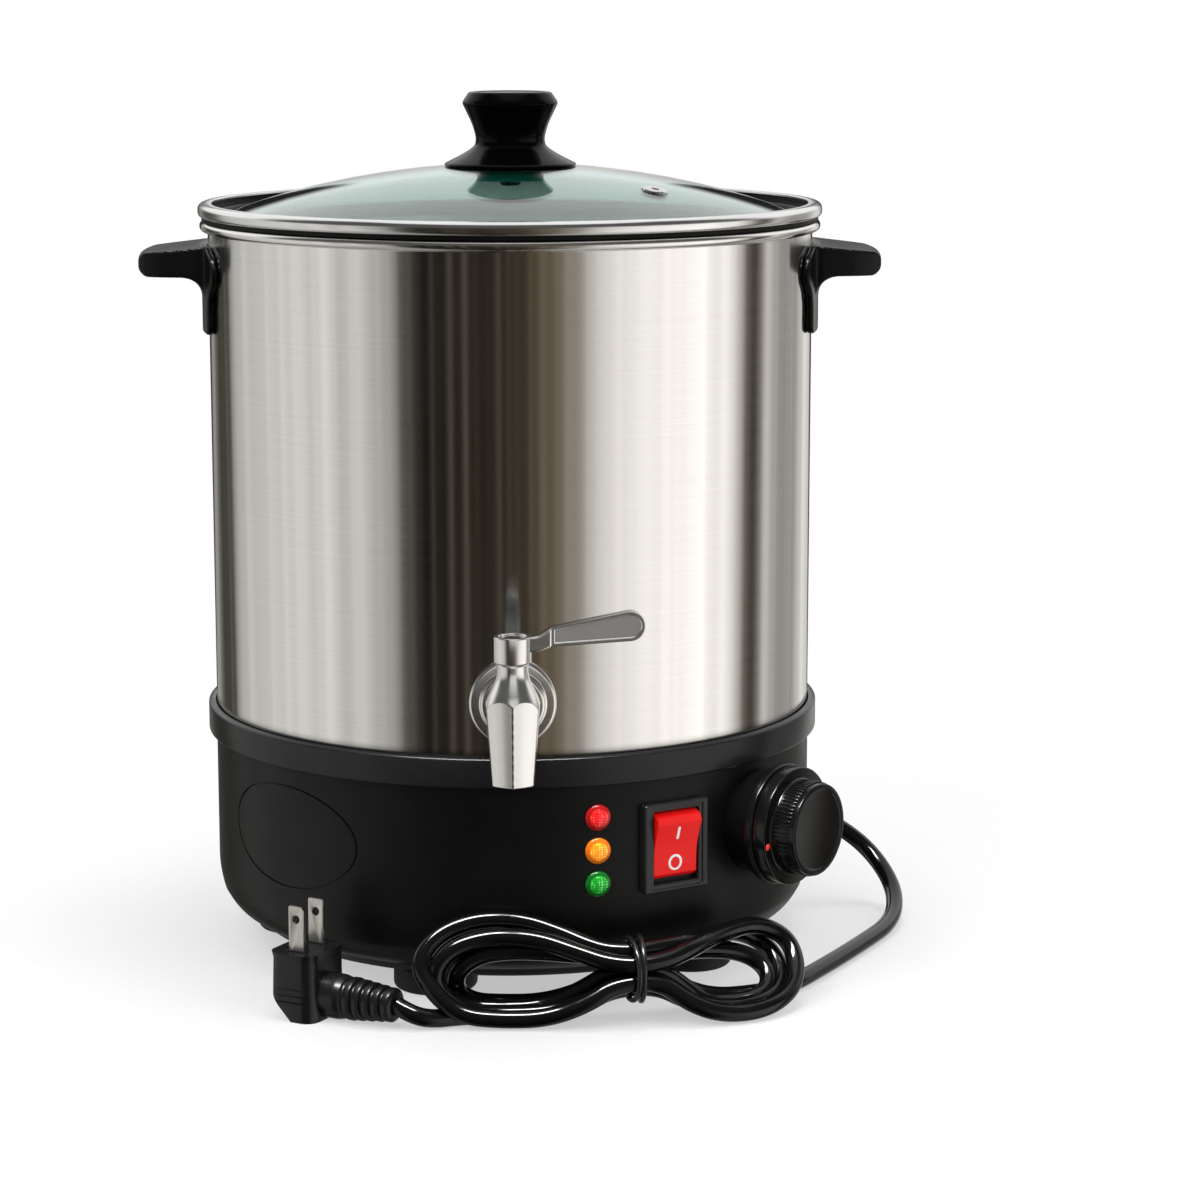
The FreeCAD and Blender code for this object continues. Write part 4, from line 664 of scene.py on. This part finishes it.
handIn(cordGland, "melter", "plug", "cord_gland")

# tank: a drawn steel pot with a rolled rim
tankShape = {"radius": 114, "wall": 0.8, "foot": 90, "rim": 276.9, "corner": 4, "bead": 1.9, "beadRound": 1.85}
inside, bead = tankShape["radius"] - tankShape["wall"], 2 * tankShape["bead"]
rim, beadRound, foot = tankShape["rim"], tankShape["beadRound"], tankShape["foot"]
tank = spunPiece("tank_shell", [
    (0, foot), (tankShape["radius"], foot, tankShape["corner"]), (tankShape["radius"], rim - bead, 0.4),
    (inside + bead, rim - bead, beadRound), (inside + bead, rim, beadRound), (inside, rim, beadRound),
    (inside, foot + tankShape["wall"], tankShape["corner"] - tankShape["wall"]), (0, foot + tankShape["wall"]),
], 256, 8)
handIn(tank, "melter", "tank steel", "tank")
print("tank made")

# base housing: its wall turns in at the foot, with a thin oval line left for a badge
baseShape = {"radius": 114.2, "profile": [
    (96, 12), (101, 12, 0.8), (106.5, 14.2, 3), (111.6, 19.4, 4), (113.6, 25.6, 4), (114.2, 32, 2), (114.2, 83, 0.6),
    (112.5, 83), (112.5, 90), (100, 90), (100, 87), (109.5, 87), (109.5, 83), (111.2, 81), (111.2, 33), (109, 24),
    (104, 17), (96, 15),
]}
baseShell = spunPiece("base_housing_shell", baseShape["profile"], 256, 6)
ovalShape = {"azimuth": -47, "height": 56.9, "width": 68.7, "tall": 38.7, "line": 0.75, "depth": 0.55}
width, tall, line = ovalShape["width"], ovalShape["tall"], 2 * ovalShape["line"]
ovalCut = stretched(rodPiece(500, 1000, (0, 0, 0), 160), (width * mm, tall * mm, 30 * mm))
ovalCore = stretched(copyOf(ovalCut, "oval core"), ((width - line) / width, (tall - line) / tall, 1.2))
combine(ovalCut, ovalCore, "DIFFERENCE")
facing(move(ovalCut, 0, 0, 110), ovalShape["azimuth"], ovalShape["height"])
skin = baseShape["radius"] - ovalShape["depth"]
outside = spunPiece("outside", [(skin, 20), (130, 20), (130, 84), (skin, 84)], 256)
combine(ovalCut, outside, "INTERSECT")
handIn(shade(combine(baseShell, ovalCut, "DIFFERENCE")), "melter", "housing", "base_housing")

collarShape = {"bore": 112.6, "outer": 117.1, "low": 83, "seat": 90, "top": 94, "mouth": 114.4}
bore, outer, mouth = collarShape["bore"], collarShape["outer"], collarShape["mouth"]
collar = spunPiece("collar_ring_moulding", [
    (bore, collarShape["low"]), (outer, collarShape["low"], 0.8), (outer, collarShape["top"], 1.2),
    (mouth, collarShape["top"], 0.2), (mouth, collarShape["seat"]), (bore, collarShape["seat"]),
], 256, 5)
handIn(collar, "melter", "collar", "collar_ring")

footShape = {
    "circle": 84.5, "first": -20, "count": 5,
    "profile": [(5.5, 0, 0.3), (15.5, 0, 2.4), (15.5, 9, 0.4), (2.1, 9), (2.1, 4), (5.5, 4)],
}
pad = move(spunPiece("foot", footShape["profile"], 72), 0, -footShape["circle"], 0)
pads = [turn(pad, footShape["first"], "Z")]
while len(pads) < footShape["count"]:
    pads.append(turn(copyOf(pads[-1], "foot"), 360 / footShape["count"], "Z"))
handIn(together("rubber_feet", pads), "melter", "rubber", "foot_pads")
print("base made")

# lid: a shallow glass dome in a steel band, on a soft gasket
lidShape = {
    "dome": 328, "top": 297.5, "glass": 3.6, "spans": [2.6, 8, 16, 26, 38, 50, 62, 74, 86, 98, 106, 111],
    "vent": (52.6, -47), "ventHole": 2.6, "band": 117.6, "bandFoot": 278.4, "bandTall": 5, "bandWidth": 5.2,
    "metal": 0.8, "lip": 3.1,
}
centreZ = lidShape["top"] - lidShape["dome"]


def domeTop(r):
    return centreZ + math.sqrt(lidShape["dome"] ** 2 - r ** 2)


def domeUnder(r):
    return centreZ + math.sqrt((lidShape["dome"] - lidShape["glass"]) ** 2 - r ** 2)


glassLine = [(r, domeTop(r)) for r in lidShape["spans"]] + [(r, domeUnder(r)) for r in reversed(lidShape["spans"])]
glassLid = spunPiece("lid_glass_dome", glassLine, 192)
ventHole = rodPiece(lidShape["ventHole"], 20, (*lidShape["vent"], domeTop(70.5)), 48)
shade(combine(glassLid, ventHole, "DIFFERENCE"))
glassLid.visible_shadow = False
glassLid.visible_diffuse = False
handIn(glassLid, "lid", "lid glass", "lid_glass")

low, high, outer = lidShape["bandFoot"], lidShape["bandFoot"] + lidShape["bandTall"], lidShape["band"]
metal, turned, lip = lidShape["metal"], outer - lidShape["bandWidth"], outer - lidShape["lip"]
band = spunPiece("lid_band_steel", [
    (turned, high, 0.3), (outer, high, 2.1), (outer, low, 1.7), (lip, low, 0.3), (lip, low + metal),
    (outer - metal, low + metal, 1.0), (outer - metal, high - metal, 1.4), (turned, high - metal),
], 256, 6)
handIn(band, "lid", "band steel", "lid_band")

gasket = spunPiece("lid_gasket_ring", [
    (106.5, 272.8), (111.9, 272.8), (112.7, 274, 0.4), (112.7, 277), (116.2, 277, 0.3), (116.2, 278.4),
    (114.4, 278.4), (114.4, 279.3), (115.6, 279.3), (116.7, 280.4), (116.7, 281.0), (115.2, 282.5), (113.2, 282.5),
    (113.2, domeTop(108.5) + 1.1, 0.5), (108.9, domeTop(108.5) + 1.1, 0.5), (108.5, domeTop(108.5)),
    (111, domeTop(111)), (111, domeUnder(111)), (106.5, domeUnder(106.5)),
], 256, 4)
handIn(gasket, "lid", "gasket", "lid_gasket")

# knob: a flange that lies on the glass, a neck and a flared head; heights above the flange from the dome's top
knobShape = {"seat": 0.05, "flange": 24.4, "head": [
    (17.2, 3.9, 3), (13.6, 6.4, 2), (12.75, 8.6, 1.6), (13.9, 14.0, 3), (17.3, 21.0, 1.2), (17.95, 22.4, 0.25),
    (17.6, 23.5, 0.3), (15.7, 26.3, 0.6), (15.0, 26.8, 0.3), (13.6, 26.8, 0.2), (13.3, 26.5, 0.2), (6, 26.3, 2),
]}
top, edge = lidShape["top"], domeTop(knobShape["flange"])
knobLine = [(2.05, domeTop(2) + knobShape["seat"]), (12, domeTop(12) + knobShape["seat"])]
knobLine += [(24.4, edge + knobShape["seat"], 0.2), (24.9, edge + 0.6, 0.3), (24.4, edge + 1.2, 0.4)]
knobLine += [(radius, top + rise, size) for radius, rise, size in knobShape["head"]]
knobLine += [(0, top + 26.25), (0, top + 14), (2.05, top + 14)]
handIn(spunPiece("lid_knob_moulding", knobLine), "lid", "knob", "lid_knob")
print("lid made")

# side handles: a flat grip moulded in one with its pad; half outlines that are mirrored
handleShape = {
    "top": 268.0, "root": 114.1, "leg": 116.5, "reach": 140, "thick": 9.0, "slope": 2.4, "fillet": 8.0,
    "gripHalf": [(90, -27), (116.5, -26), (131, -23.5, 3), (139.2, -20, 4), (141.5, -12.5, 3)],
    "padHalf": [
        (26, 0), (35.5, -3.2, 2), (38.6, -9, 3), (37.2, -13.2, 2), (33, -16.5, 2), (30.8, -22, 2), (30.8, -32.4, 3.5),
    ],
}
handleTop, root, leg, end = handleShape["top"], handleShape["root"], handleShape["leg"], handleShape["reach"]
thick, gripHalf = handleShape["thick"], handleShape["gripHalf"]
low = handleTop - handleShape["slope"] - thick
grip = spunPiece("handle", [
    (root, handleTop), (leg + 1, handleTop), (end - 1.5, low + thick, 1.2), (end, low + thick - 2, 1.2),
    (end, low + 2.4, 1.2), (end - 2.4, low, 1.2), (leg, low, handleShape["fillet"]), (leg, low - 13),
    (root, low - 13),
], 256, 8)
plan = cutPiece(
    "plan", gripHalf + [(c[0], -c[1], *c[2:]) for c in reversed(gripHalf)], low - 20, handleTop + 2,
)
combine(grip, plan, "INTERSECT")
padHalf = [(c[0], handleTop + c[1], *c[2:]) for c in handleShape["padHalf"]]
padFoot = padHalf[-1][1]
padRing = spunPiece("pad", [(root, padFoot), (leg, padFoot), (leg, handleTop), (root, handleTop)], 256)
padPlan = cutPiece("pad plan", padHalf + [(-c[0], *c[1:]) for c in reversed(padHalf)], -130, -90, upright=True)
combine(padRing, turn(padPlan, 90, "Z"), "INTERSECT")
moulded(combine(grip, padRing, "UNION"), 0.5, 7)
handIn(copyOf(grip, "handle_right_moulding"), "melter", "handle", "handle_right")
leftHandle = turn(grip, 180, "Z")
leftHandle.name = "handle_left_moulding"
handIn(leftHandle, "melter", "handle", "handle_left")
print("handles made")

# tap: flange, barrel, six-sided spout with crowned sides, and a flat lever on top
tapShape = {
    "height": 114, "reach": 150, "squeeze": 0.91, "side": 9.9, "crown": 0.6, "footShare": 0.7, "bore": 4.6,
    "flange": [
        (8, 113.4), (15.5, 113.4), (15.5, 116.7, 1.2), (12.0, 116.7, 0.3), (11.5, 117.2, 0.2), (11.5, 119.5, 1.3),
        (8, 119.5),
    ],
    "spout": [
        (0, -21.1), (8.8, -21.1, 0.5), (11.6, -1.0, 3), (11.2, 5.2, 2.5), (10.0, 9.0, 2), (7.1, 14.4, 3),
        (6.0, 17.2, 1.5), (5.9, 21.4, 0.4), (0, 21.4),
    ],
    "barrel": [
        (0, 104), (7.9, 104, 0.4), (7.9, 119.6), (9.4, 119.6, 0.3), (9.4, 124.5, 0.6), (8.9, 125.5, 0.5), (8.6, 150),
        (0, 150),
    ],
}
flange = facing(spunPiece("tap_flange_ring", tapShape["flange"], 96), 0, tapShape["height"])
handIn(flange, "melter", "tap steel", "tap_flange")

spout = spunPiece("spout", tapShape["spout"])
editMesh(spout, "VERT")
bpy.ops.mesh.select_all(action="SELECT")
bpy.ops.transform.resize(value=(tapShape["squeeze"], 1, 1), center_override=(0, 0, 0))
closeMesh(spout)
sides = []
for side in range(6):
    for slip in range(-30, 30, 6):
        crown = tapShape["crown"] * math.cos(math.radians(3 * slip)) if slip > -30 else 0
        reach, azimuth = tapShape["side"] / math.cos(math.radians(slip)) + crown, math.radians(60 * side + 30 + slip)
        sides.append((reach * math.sin(azimuth), -reach * math.cos(azimuth)))
flats = cutPiece("flats", sides, -22, 22)
editMesh(flats, "VERT")
chooseVerts(flats, lambda co: co.z < -20)
bpy.ops.transform.resize(
    value=(tapShape["footShare"], tapShape["footShare"], 1), center_override=(0, 0, -22 * mm),
)
closeMesh(flats)
combine(spout, flats, "INTERSECT")
barrel = facing(spunPiece("barrel", tapShape["barrel"], 96, 4), 0, 0)
combine(move(spout, 0, -tapShape["reach"], 0), barrel, "UNION")
combine(spout, rodPiece(tapShape["bore"], 14, (0, -tapShape["reach"], -15.1), 64), "DIFFERENCE")
moulded(spout, 0.28, 5)
move(spout, 0, 0, tapShape["height"])
spout.name = "tap_body_casting"
spout.visible_glossy = False
handIn(spout, "melter", "tap steel", "tap_body")

leverShape = {
    "foot": 135.6, "armHalf": 2.5, "paddleHalf": 1.9, "frameLine": 1.25, "panelStep": 0.12, "panelDepth": 0.42,
    "hub": [(3.05, 0), (6.45, 0, 0.6), (6.45, 9.3, 0.5), (4.95, 9.3, 0.2), (4.95, 7.0), (3.05, 7.0)],
    "arm": [(5.2, 3.8), (9.4, 4.0, 1), (13.4, 5.7), (13.4, 12.6), (11.0, 10.9, 1), (8.4, 9.5, 1), (5.2, 9.2)],
    "tip": (40.2, 12.75), "tipRound": 5.2, "neckLow": (13.1, 5.7), "neckHigh": (13.1, 12.5),
}
leverFinishes = ("lever steel", "panel grey")
hub = spunPiece("lever hub", leverShape["hub"], 96, 4)
arm = cutPiece("arm", leverShape["arm"], -leverShape["armHalf"], leverShape["armHalf"], upright=True)
softEdges(arm, 0.7, 3)
(tipX, tipZ), tipRound = leverShape["tip"], leverShape["tipRound"]
tip = [
    (tipX + tipRound * math.cos(math.radians(a)), tipZ + tipRound * math.sin(math.radians(a)))
    for a in range(-87, 104, 9)
]
paddleLine = [leverShape["neckLow"]] + tip + [leverShape["neckHigh"]]
paddle = cutPiece("paddle", paddleLine, -leverShape["paddleHalf"], leverShape["paddleHalf"], upright=True)
editMesh(paddle, "FACE")
chooseFaces(paddle, lambda c, n: abs(n.y) > 0.9)
bpy.ops.mesh.inset(thickness=leverShape["frameLine"] * mm, depth=0)
bpy.ops.mesh.inset(thickness=leverShape["panelStep"] * mm, depth=-leverShape["panelDepth"] * mm)
mesh = bmesh.from_edit_mesh(paddle.data)
for face in mesh.faces:
    face.material_index = 1 if face.select else 0
bmesh.update_edit_mesh(paddle.data)
bpy.ops.object.mode_set(mode="OBJECT")
for finish in leverFinishes:
    paddle.data.materials.append(finishes[finish])
softEdges(paddle, 0.22, 2, 40)
lever = together("tap_lever_casting", [dress(hub, *leverFinishes), dress(arm, *leverFinishes), paddle])
move(lever, 0, -tapShape["reach"], leverShape["foot"])
lever.visible_glossy = False
handIn(lever, "tap_handle", None, "tap_lever")
print("tap made")

# lamps: three domed lenses in a column, each with a darker edge
lampShape = {
    "azimuth": 15.3, "pitch": 12.25, "middle": 58.7, "edge": 3.35, "steps": {"red": 1, "amber": 0, "green": -1},
    "profile": [
        (0, 108.2), (3.9, 108.2), (3.9, 114.2), (4.75, 114.2), (4.75, 114.9, 0.3), (4.2, 115.4, 0.4),
        (2.9, 115.95, 0.8), (1.4, 116.25, 0.6), (0.0, 116.3),
    ],
}
lens = dress(spunPiece("lens", lampShape["profile"], 72, 4, 60), "lens red", "lens red edge")
editMesh(lens, "FACE")
chooseFaces(lens, lambda c, n: math.hypot(c.x, c.y) > lampShape["edge"])
bpy.context.object.active_material_index = 1
bpy.ops.object.material_slot_assign()
bpy.ops.object.mode_set(mode="OBJECT")
for colour, step in lampShape["steps"].items():
    node, tint = "lamp_lens_" + colour, "lens " + colour
    one = facing(copyOf(lens, node + "_dome"), lampShape["azimuth"], lampShape["middle"] + step * lampShape["pitch"])
    one.data.materials[0], one.data.materials[1] = finishes[tint], finishes[tint + " edge"]
    handIn(one, "melter", None, node)
bpy.data.objects.remove(lens, do_unlink=True)

# power switch: a frame with a red rocker, tilted with its upper end out
switchShape = {
    "azimuth": 30.3, "height": 57.8, "back": 111, "face": 117, "frame": (27, 32.8, 0.9), "well": (19.3, 27.3, 0.4),
    "wellFloor": 111.6, "step": (22.4, 30.4, 0.6), "stepFloor": 116.5, "pin": 114.8, "tilt": 10.5, "rockerHalf": 9.3,
    "rocker": [
        (-12.0, 1.2, 0.4), (-10.0, 2.9, 0.3), (-5, 1.9, 3), (0, 1.5, 1), (5, 1.9, 3), (10.0, 2.9, 0.3),
        (12.0, 1.2, 0.4), (12.9, -3.0), (4, -6.5), (-4, -6.5), (-12.9, -3.0),
    ],
    "stroke": (1.0, 5.0, 0.24), "strokePlace": (0, 5.7, 2.12), "ringPlace": (0, -5.9, 2.14), "markLean": 8,
}
bezel = cutPiece("switch_frame_moulding", rectangle(*switchShape["frame"]), switchShape["back"], switchShape["face"])
softEdges(bezel, 0.5, 3, 40)
for opening in ("well", "step"):
    room = cutPiece(opening, rectangle(*switchShape[opening]), switchShape[opening + "Floor"], 120)
    combine(bezel, room, "DIFFERENCE")
softEdges(bezel, 0.16, 2, 60)
facing(bezel, switchShape["azimuth"], switchShape["height"])
handIn(bezel, "melter", "bezel", "switch_frame")

half, lean = switchShape["rockerHalf"], switchShape["markLean"]
rocker = cutPiece("rocker", switchShape["rocker"], -half, half, upright=True, roundSteps=6)
softEdges(rocker, 0.35, 3, 40)
dress(turn(rocker, 90, "Z"), "rocker red", "print white")
strokeMark = turn(boxPiece("on mark", switchShape["stroke"], (0, 0, 0)), lean, "X")
move(strokeMark, *switchShape["strokePlace"])
ringMark = turn(stretched(ringPiece(2.25, 0.45, 56, 10), (1.08, 1.15, 0.3)), -lean, "X")
move(ringMark, *switchShape["ringPlace"])
for mark in (strokeMark, ringMark):
    markFaces(dress(mark, "rocker red", "print white"))
rocker = together("power_rocker_moulding", [rocker, strokeMark, ringMark])
turn(rocker, switchShape["tilt"], "X")
move(rocker, 0, 0, switchShape["pin"])
facing(rocker, switchShape["azimuth"], switchShape["height"])
handIn(rocker, "rocker", None, "switch_rocker")
print("lamps and switch made")

# thermostat dial on its plinth
dialShape = {
    "azimuth": 52, "height": 60, "wall": 114.0,
    "plinth": [
        (8.6, 109.2), (19.4, 109.2), (19.6, 117.5, 2), (20.6, 122.6, 1), (22.3, 123.3, 0.4), (22.3, 126.0, 0.3),
        (21.9, 126.4, 0.2), (8.6, 126.4),
    ],
    "dial": [
        (0, 126.9), (21.8, 126.9, 0.4), (21.8, 132.0, 0.45), (17.9, 132.0, 0.3), (17.4, 132.6, 0.3),
        (17.05, 140.0, 0.3), (17.0, 141.6, 0.4), (14.9, 141.6, 0.2), (14.6, 141.3, 0.2), (0, 141.3),
    ],
    "ridges": 72, "ridge": (0.75, 0.5, 6.6), "ridgePlace": (0, -17.3, 136.4),
    "dot": 1.25, "dotCircle": 19.6, "dotAngle": 192, "dotHeight": 132.0, "dotFlat": 0.22,
}
plinth = spunPiece("dial_plinth_moulding", dialShape["plinth"], 160, 4)
facing(plinth, dialShape["azimuth"], dialShape["height"])
wall = dialShape["wall"]
cheek = spunPiece("cheek", [(0, 20), (wall, 20), (wall, 100), (0, 100)], 256)
handIn(shade(combine(plinth, cheek, "DIFFERENCE")), "melter", "plinth", "dial_plinth")

dial = spunPiece("dial_knob_moulding", dialShape["dial"], 160, 4)
ridge = softEdges(boxPiece("ridge", dialShape["ridge"], dialShape["ridgePlace"]), 0.2, 2)
ridges = [ridge]
while len(ridges) < dialShape["ridges"]:
    ridges.append(turn(copyOf(ridge, "ridge"), 360 * len(ridges) / dialShape["ridges"], "Z"))
dial = dress(together("dial_knob_moulding", [dial] + ridges), "dial", "dot red")
settle()
angle, circle = math.radians(dialShape["dotAngle"]), dialShape["dotCircle"] * mm
bpy.ops.mesh.primitive_uv_sphere_add(
    segments=28, ring_count=14, radius=dialShape["dot"] * mm,
    location=(circle * math.cos(angle), circle * math.sin(angle), dialShape["dotHeight"] * mm),
)
dot = stretched(bpy.context.object, (1, 1, dialShape["dotFlat"]))
bpy.ops.object.shade_smooth()
markFaces(dress(dot, "dial", "dot red"))
dial = facing(together("dial_knob_moulding", [dial, dot]), dialShape["azimuth"], dialShape["height"])
handIn(dial, "dial", None, "dial_knob")
print("dial made")

# pieces whose CAD shape is shown get their own finishes
carried = {
    "zinc": [
        "cover_screws", "spacer_sleeve", "tank_stud", "stud_washer", "stud_nut", "thermostat_body", "thermostat_nut",
    ],
    "plain steel": ["heat_shield", "clamp_bar", "thermal_cutout", "rocker_pin", "thermostat_shaft", "tap_nut"],
    "bright screw": ["lever_screw", "handle_screws", "vent_eyelet", "knob_screw"],
    "brass": ["earth_tag", "switch_tabs"],
    "cover": ["bottom_cover"],
    "aluminium": ["heating_plate"],
    "element": ["heating_element"],
    "copper": ["sensing_bulb"],
    "ceramic": ["terminal_block"],
    "lamp holder": ["lamp_bodies"],
    "silicone": ["tap_washer"],
    "valve": ["tap_plug"],
    "washer green": ["knob_washer"],
}
for finish, shown in carried.items():
    for node in shown:
        for place in frame["nodes"][node].material_slots:
            place.material = finishes[finish]

# room: white for the camera, soft bands of light and dark for what metal and glass mirror
roomShape = {
    # degrees from the front towards the right, and how bright the room is there
    "bands": [
        (-180, 0.6), (-160, 0.3), (-153, 0.16), (-149, 0.04), (-136, 0.05), (-129, 0.46), (-120, 0.58), (-84, 0.72),
        (-60, 0.6), (-48, 0.44), (-41, 0.09), (-34, 0.005), (-16, 0.009), (2, 0.026), (14, 0.075), (23, 0.24),
        (31, 0.58), (42, 0.94), (60, 1.08), (78, 1.22), (88, 1.05), (96, 0.6), (100, 0.14), (104, 0.015),
        (108, 0.1), (114, 0.62), (121, 0.3), (136, 0.34), (152, 0.72), (180, 0.6),
    ],
    "streaks": 46, "threads": 118, "threadColour": (1.2, 1.0, 0.8), "threadLevel": 0.1,
    "overhead": (0.09, 0.09, 0.09), "diffuse": (0.62, 0.62, 0.62),
}
room = bpy.data.worlds.new("room")
bpy.context.scene.world = room
room.use_nodes = True
sky = room.node_tree
sky.nodes.clear()
place, axes = sky.nodes.new("ShaderNodeTexCoord"), sky.nodes.new("ShaderNodeSeparateXYZ")
sky.links.new(place.outputs["Generated"], axes.inputs["Vector"])
rightward, backward, upward = (axes.outputs[axis] for axis in "XYZ")
around = maths(sky, "ARCTAN2", rightward, maths(sky, "MULTIPLY", backward, -1))
share = maths(sky, "MULTIPLY_ADD", around, 1 / (2 * math.pi), 0.5)
bands = sky.nodes.new("ShaderNodeValToRGB")
sky.links.new(share, bands.inputs["Fac"])
ramp = bands.color_ramp
ramp.interpolation = "EASE"
while len(ramp.elements) < len(roomShape["bands"]):
    ramp.elements.new(0.5)
for stop, (degrees, level) in zip(ramp.elements, roomShape["bands"]):
    stop.position = degrees / 360 + 0.5
for stop, (degrees, level) in zip(ramp.elements, roomShape["bands"]):
    warmth = (0.2 if degrees < -20 else 0.34) if level < 0.1 else 0.16 if level < 0.3 else 0.03
    stop.color = (level * (1 + warmth * (0.8 if degrees > -20 else 0.15)), level, level * (1 - warmth), 1)
# uneven streaks, stronger in the dark parts, and fine warm lines that show there
wobble = spread(sky, bands.outputs["Color"], 0.6, 0.15, 0.02, 0.25)
least, most = (maths(sky, operation, 0.98, wobble) for operation in ("SUBTRACT", "ADD"))
uneven = spread(sky, lineNoise(sky, share, roomShape["streaks"], 3), least, most, 0.25, 0.75)
thread = spread(sky, lineNoise(sky, share, roomShape["threads"], 2), 0.0, roomShape["threadLevel"], 0.52, 0.72)
lined = sky.nodes.new("ShaderNodeVectorMath")
lined.operation = "ADD"
sky.links.new(scaled(sky, bands.outputs["Color"], uneven), lined.inputs[0])
sky.links.new(scaled(sky, roomShape["threadColour"], thread), lined.inputs[1])
# below, the room falls away into the dark
sunk = scaled(sky, lined.outputs["Vector"], spread(sky, upward, 0.5, 1.0, -0.9, -0.4, soft=True))
# above, the room is pale behind and has one panel overhead
rise = spread(sky, upward, 0.0, 1.0, 0.04, 0.22, soft=True)
rear = spread(sky, backward, 0.0, 1.0, 0.05, 0.4, soft=True)
panel = spread(sky, upward, 0.0, 1.0, 0.86, 0.93, soft=True)
overhead = blend(sky, maths(sky, "MAXIMUM", rear, panel), roomShape["overhead"], (1, 1, 1))
ceiling = blend(sky, rise, sunk, overhead)
# low behind, mirrored rays meet a dark screen to either side
rays = sky.nodes.new("ShaderNodeLightPath").outputs
backwards = spread(sky, backward, 0.0, 1.0, 0.94, 0.965, soft=True)
beside = spread(sky, maths(sky, "ABSOLUTE", rightward), 0.0, 0.97, 0.084, 0.094, soft=True)
screen = maths(sky, "MULTIPLY", backwards, beside)
screen = maths(sky, "MULTIPLY", screen, spread(sky, upward, 1.0, 0.0, 0.14, 0.22, soft=True))
screen = maths(sky, "MULTIPLY", screen, rays["Is Glossy Ray"])
screened = blend(sky, screen, ceiling, (0, 0, 0))
mirrored = maths(sky, "MAXIMUM", rays["Is Glossy Ray"], rays["Is Transmission Ray"])
seen = blend(sky, rays["Is Camera Ray"], blend(sky, mirrored, roomShape["diffuse"], screened), (1, 1, 1))
background, out = sky.nodes.new("ShaderNodeBackground"), sky.nodes.new("ShaderNodeOutputWorld")
sky.links.new(seen, background.inputs["Color"])
sky.links.new(background.outputs["Background"], out.inputs["Surface"])

# floor: near white, keeps the shadow, turns plain white further off, and lets mirrored rays see the room
floorShape = {"size": 14, "levels": (0.88, 0.92), "rough": 0.8, "shine": 0.2, "near": 0.14, "far": 0.42, "least": 0.5}
settle()
bpy.ops.mesh.primitive_plane_add(size=floorShape["size"], location=(0, 0, 0))
ground = bpy.context.object
ground.name = "ground"
floorFinish, tree, shader = newFinish("pale floor")
shader["Roughness"].default_value = floorShape["rough"]
shader["Specular IOR Level"].default_value = floorShape["shine"]
speck = spread(tree, pattern(tree, even, 300, 2), *floorShape["levels"])
grey = tree.nodes.new("ShaderNodeCombineColor")
for channel in grey.inputs:
    tree.links.new(speck, channel)
tree.links.new(grey.outputs["Color"], shader["Base Color"])
spot = tree.nodes.new("ShaderNodeTexCoord")
reach = tree.nodes.new("ShaderNodeVectorMath")
reach.operation = "LENGTH"
tree.links.new(spot.outputs["Object"], reach.inputs[0])
near, far = floorShape["near"], floorShape["far"]
away = spread(tree, reach.outputs["Value"], floorShape["least"], 1.0, near, far, soft=True)
glow, clear = tree.nodes.new("ShaderNodeEmission"), tree.nodes.new("ShaderNodeBsdfTransparent")
matt = tree.nodes["Principled BSDF"].outputs["BSDF"]
rays = tree.nodes.new("ShaderNodeLightPath").outputs
lit = blendShaders(tree, away, matt, glow.outputs["Emission"])
lit = blendShaders(tree, rays["Is Camera Ray"], matt, lit)
lit = blendShaders(tree, rays["Is Glossy Ray"], lit, clear.outputs["BSDF"])
tree.links.new(lit, tree.nodes["Material Output"].inputs["Surface"])
ground.data.materials.append(floorFinish)

# lamps: a broad key from the upper left, a softer one from the right, one from above, a glint and a sheen; the last
# two light only
#  the finishes named, which mirror them too
lamps = {
    "key": {"spot": (-0.9, -1.0, 1.3), "size": 1.1, "power": 14},
    "fill": {"spot": (1.2, -0.8, 0.9), "size": 1.2, "power": 7},
    "overhead": {"spot": (0.1, 0.0, 1.5), "size": 0.6, "power": 9},
    "glint": {"spot": (-0.1, -0.5, 1.3), "size": 1.1, "tall": 0.28, "power": 60, "only": {
        "cord", "plug", "tie", "dial", "plinth", "collar", "bezel", "handle", "lens red", "lens amber", "lens green",
    }},
    "sheen": {"spot": (0.1, -1.35, 0.58), "size": 1.1, "power": 2.4, "only": {"tap steel", "lever steel"}},
}
lampAim = Vector((0, 0, 0.14))
for name, values in lamps.items():
    lamp = bpy.data.lights.new(name, "AREA")
    lamp.size, lamp.energy = values["size"], values["power"]
    if "tall" in values:
        lamp.shape, lamp.size_y = "RECTANGLE", values["tall"]
    holder = bpy.data.objects.new(name, lamp)
    bpy.context.scene.collection.objects.link(holder)
    holder.location = values["spot"]
    holder.rotation_euler = (lampAim - Vector(values["spot"])).to_track_quat("-Z", "Y").to_euler()
    holder.visible_glossy = "only" in values
    holder.visible_transmission = False
    if "only" in values:
        chosen = bpy.data.collections.new(name + " pieces")
        for piece in bpy.data.objects:
            if {slot.material.name for slot in piece.material_slots if slot.material} & values["only"]:
                chosen.objects.link(piece)
        holder.light_linking.receiver_collection = chosen
bpy.context.scene.view_settings.view_transform = "Standard"
print("room and lamps set")
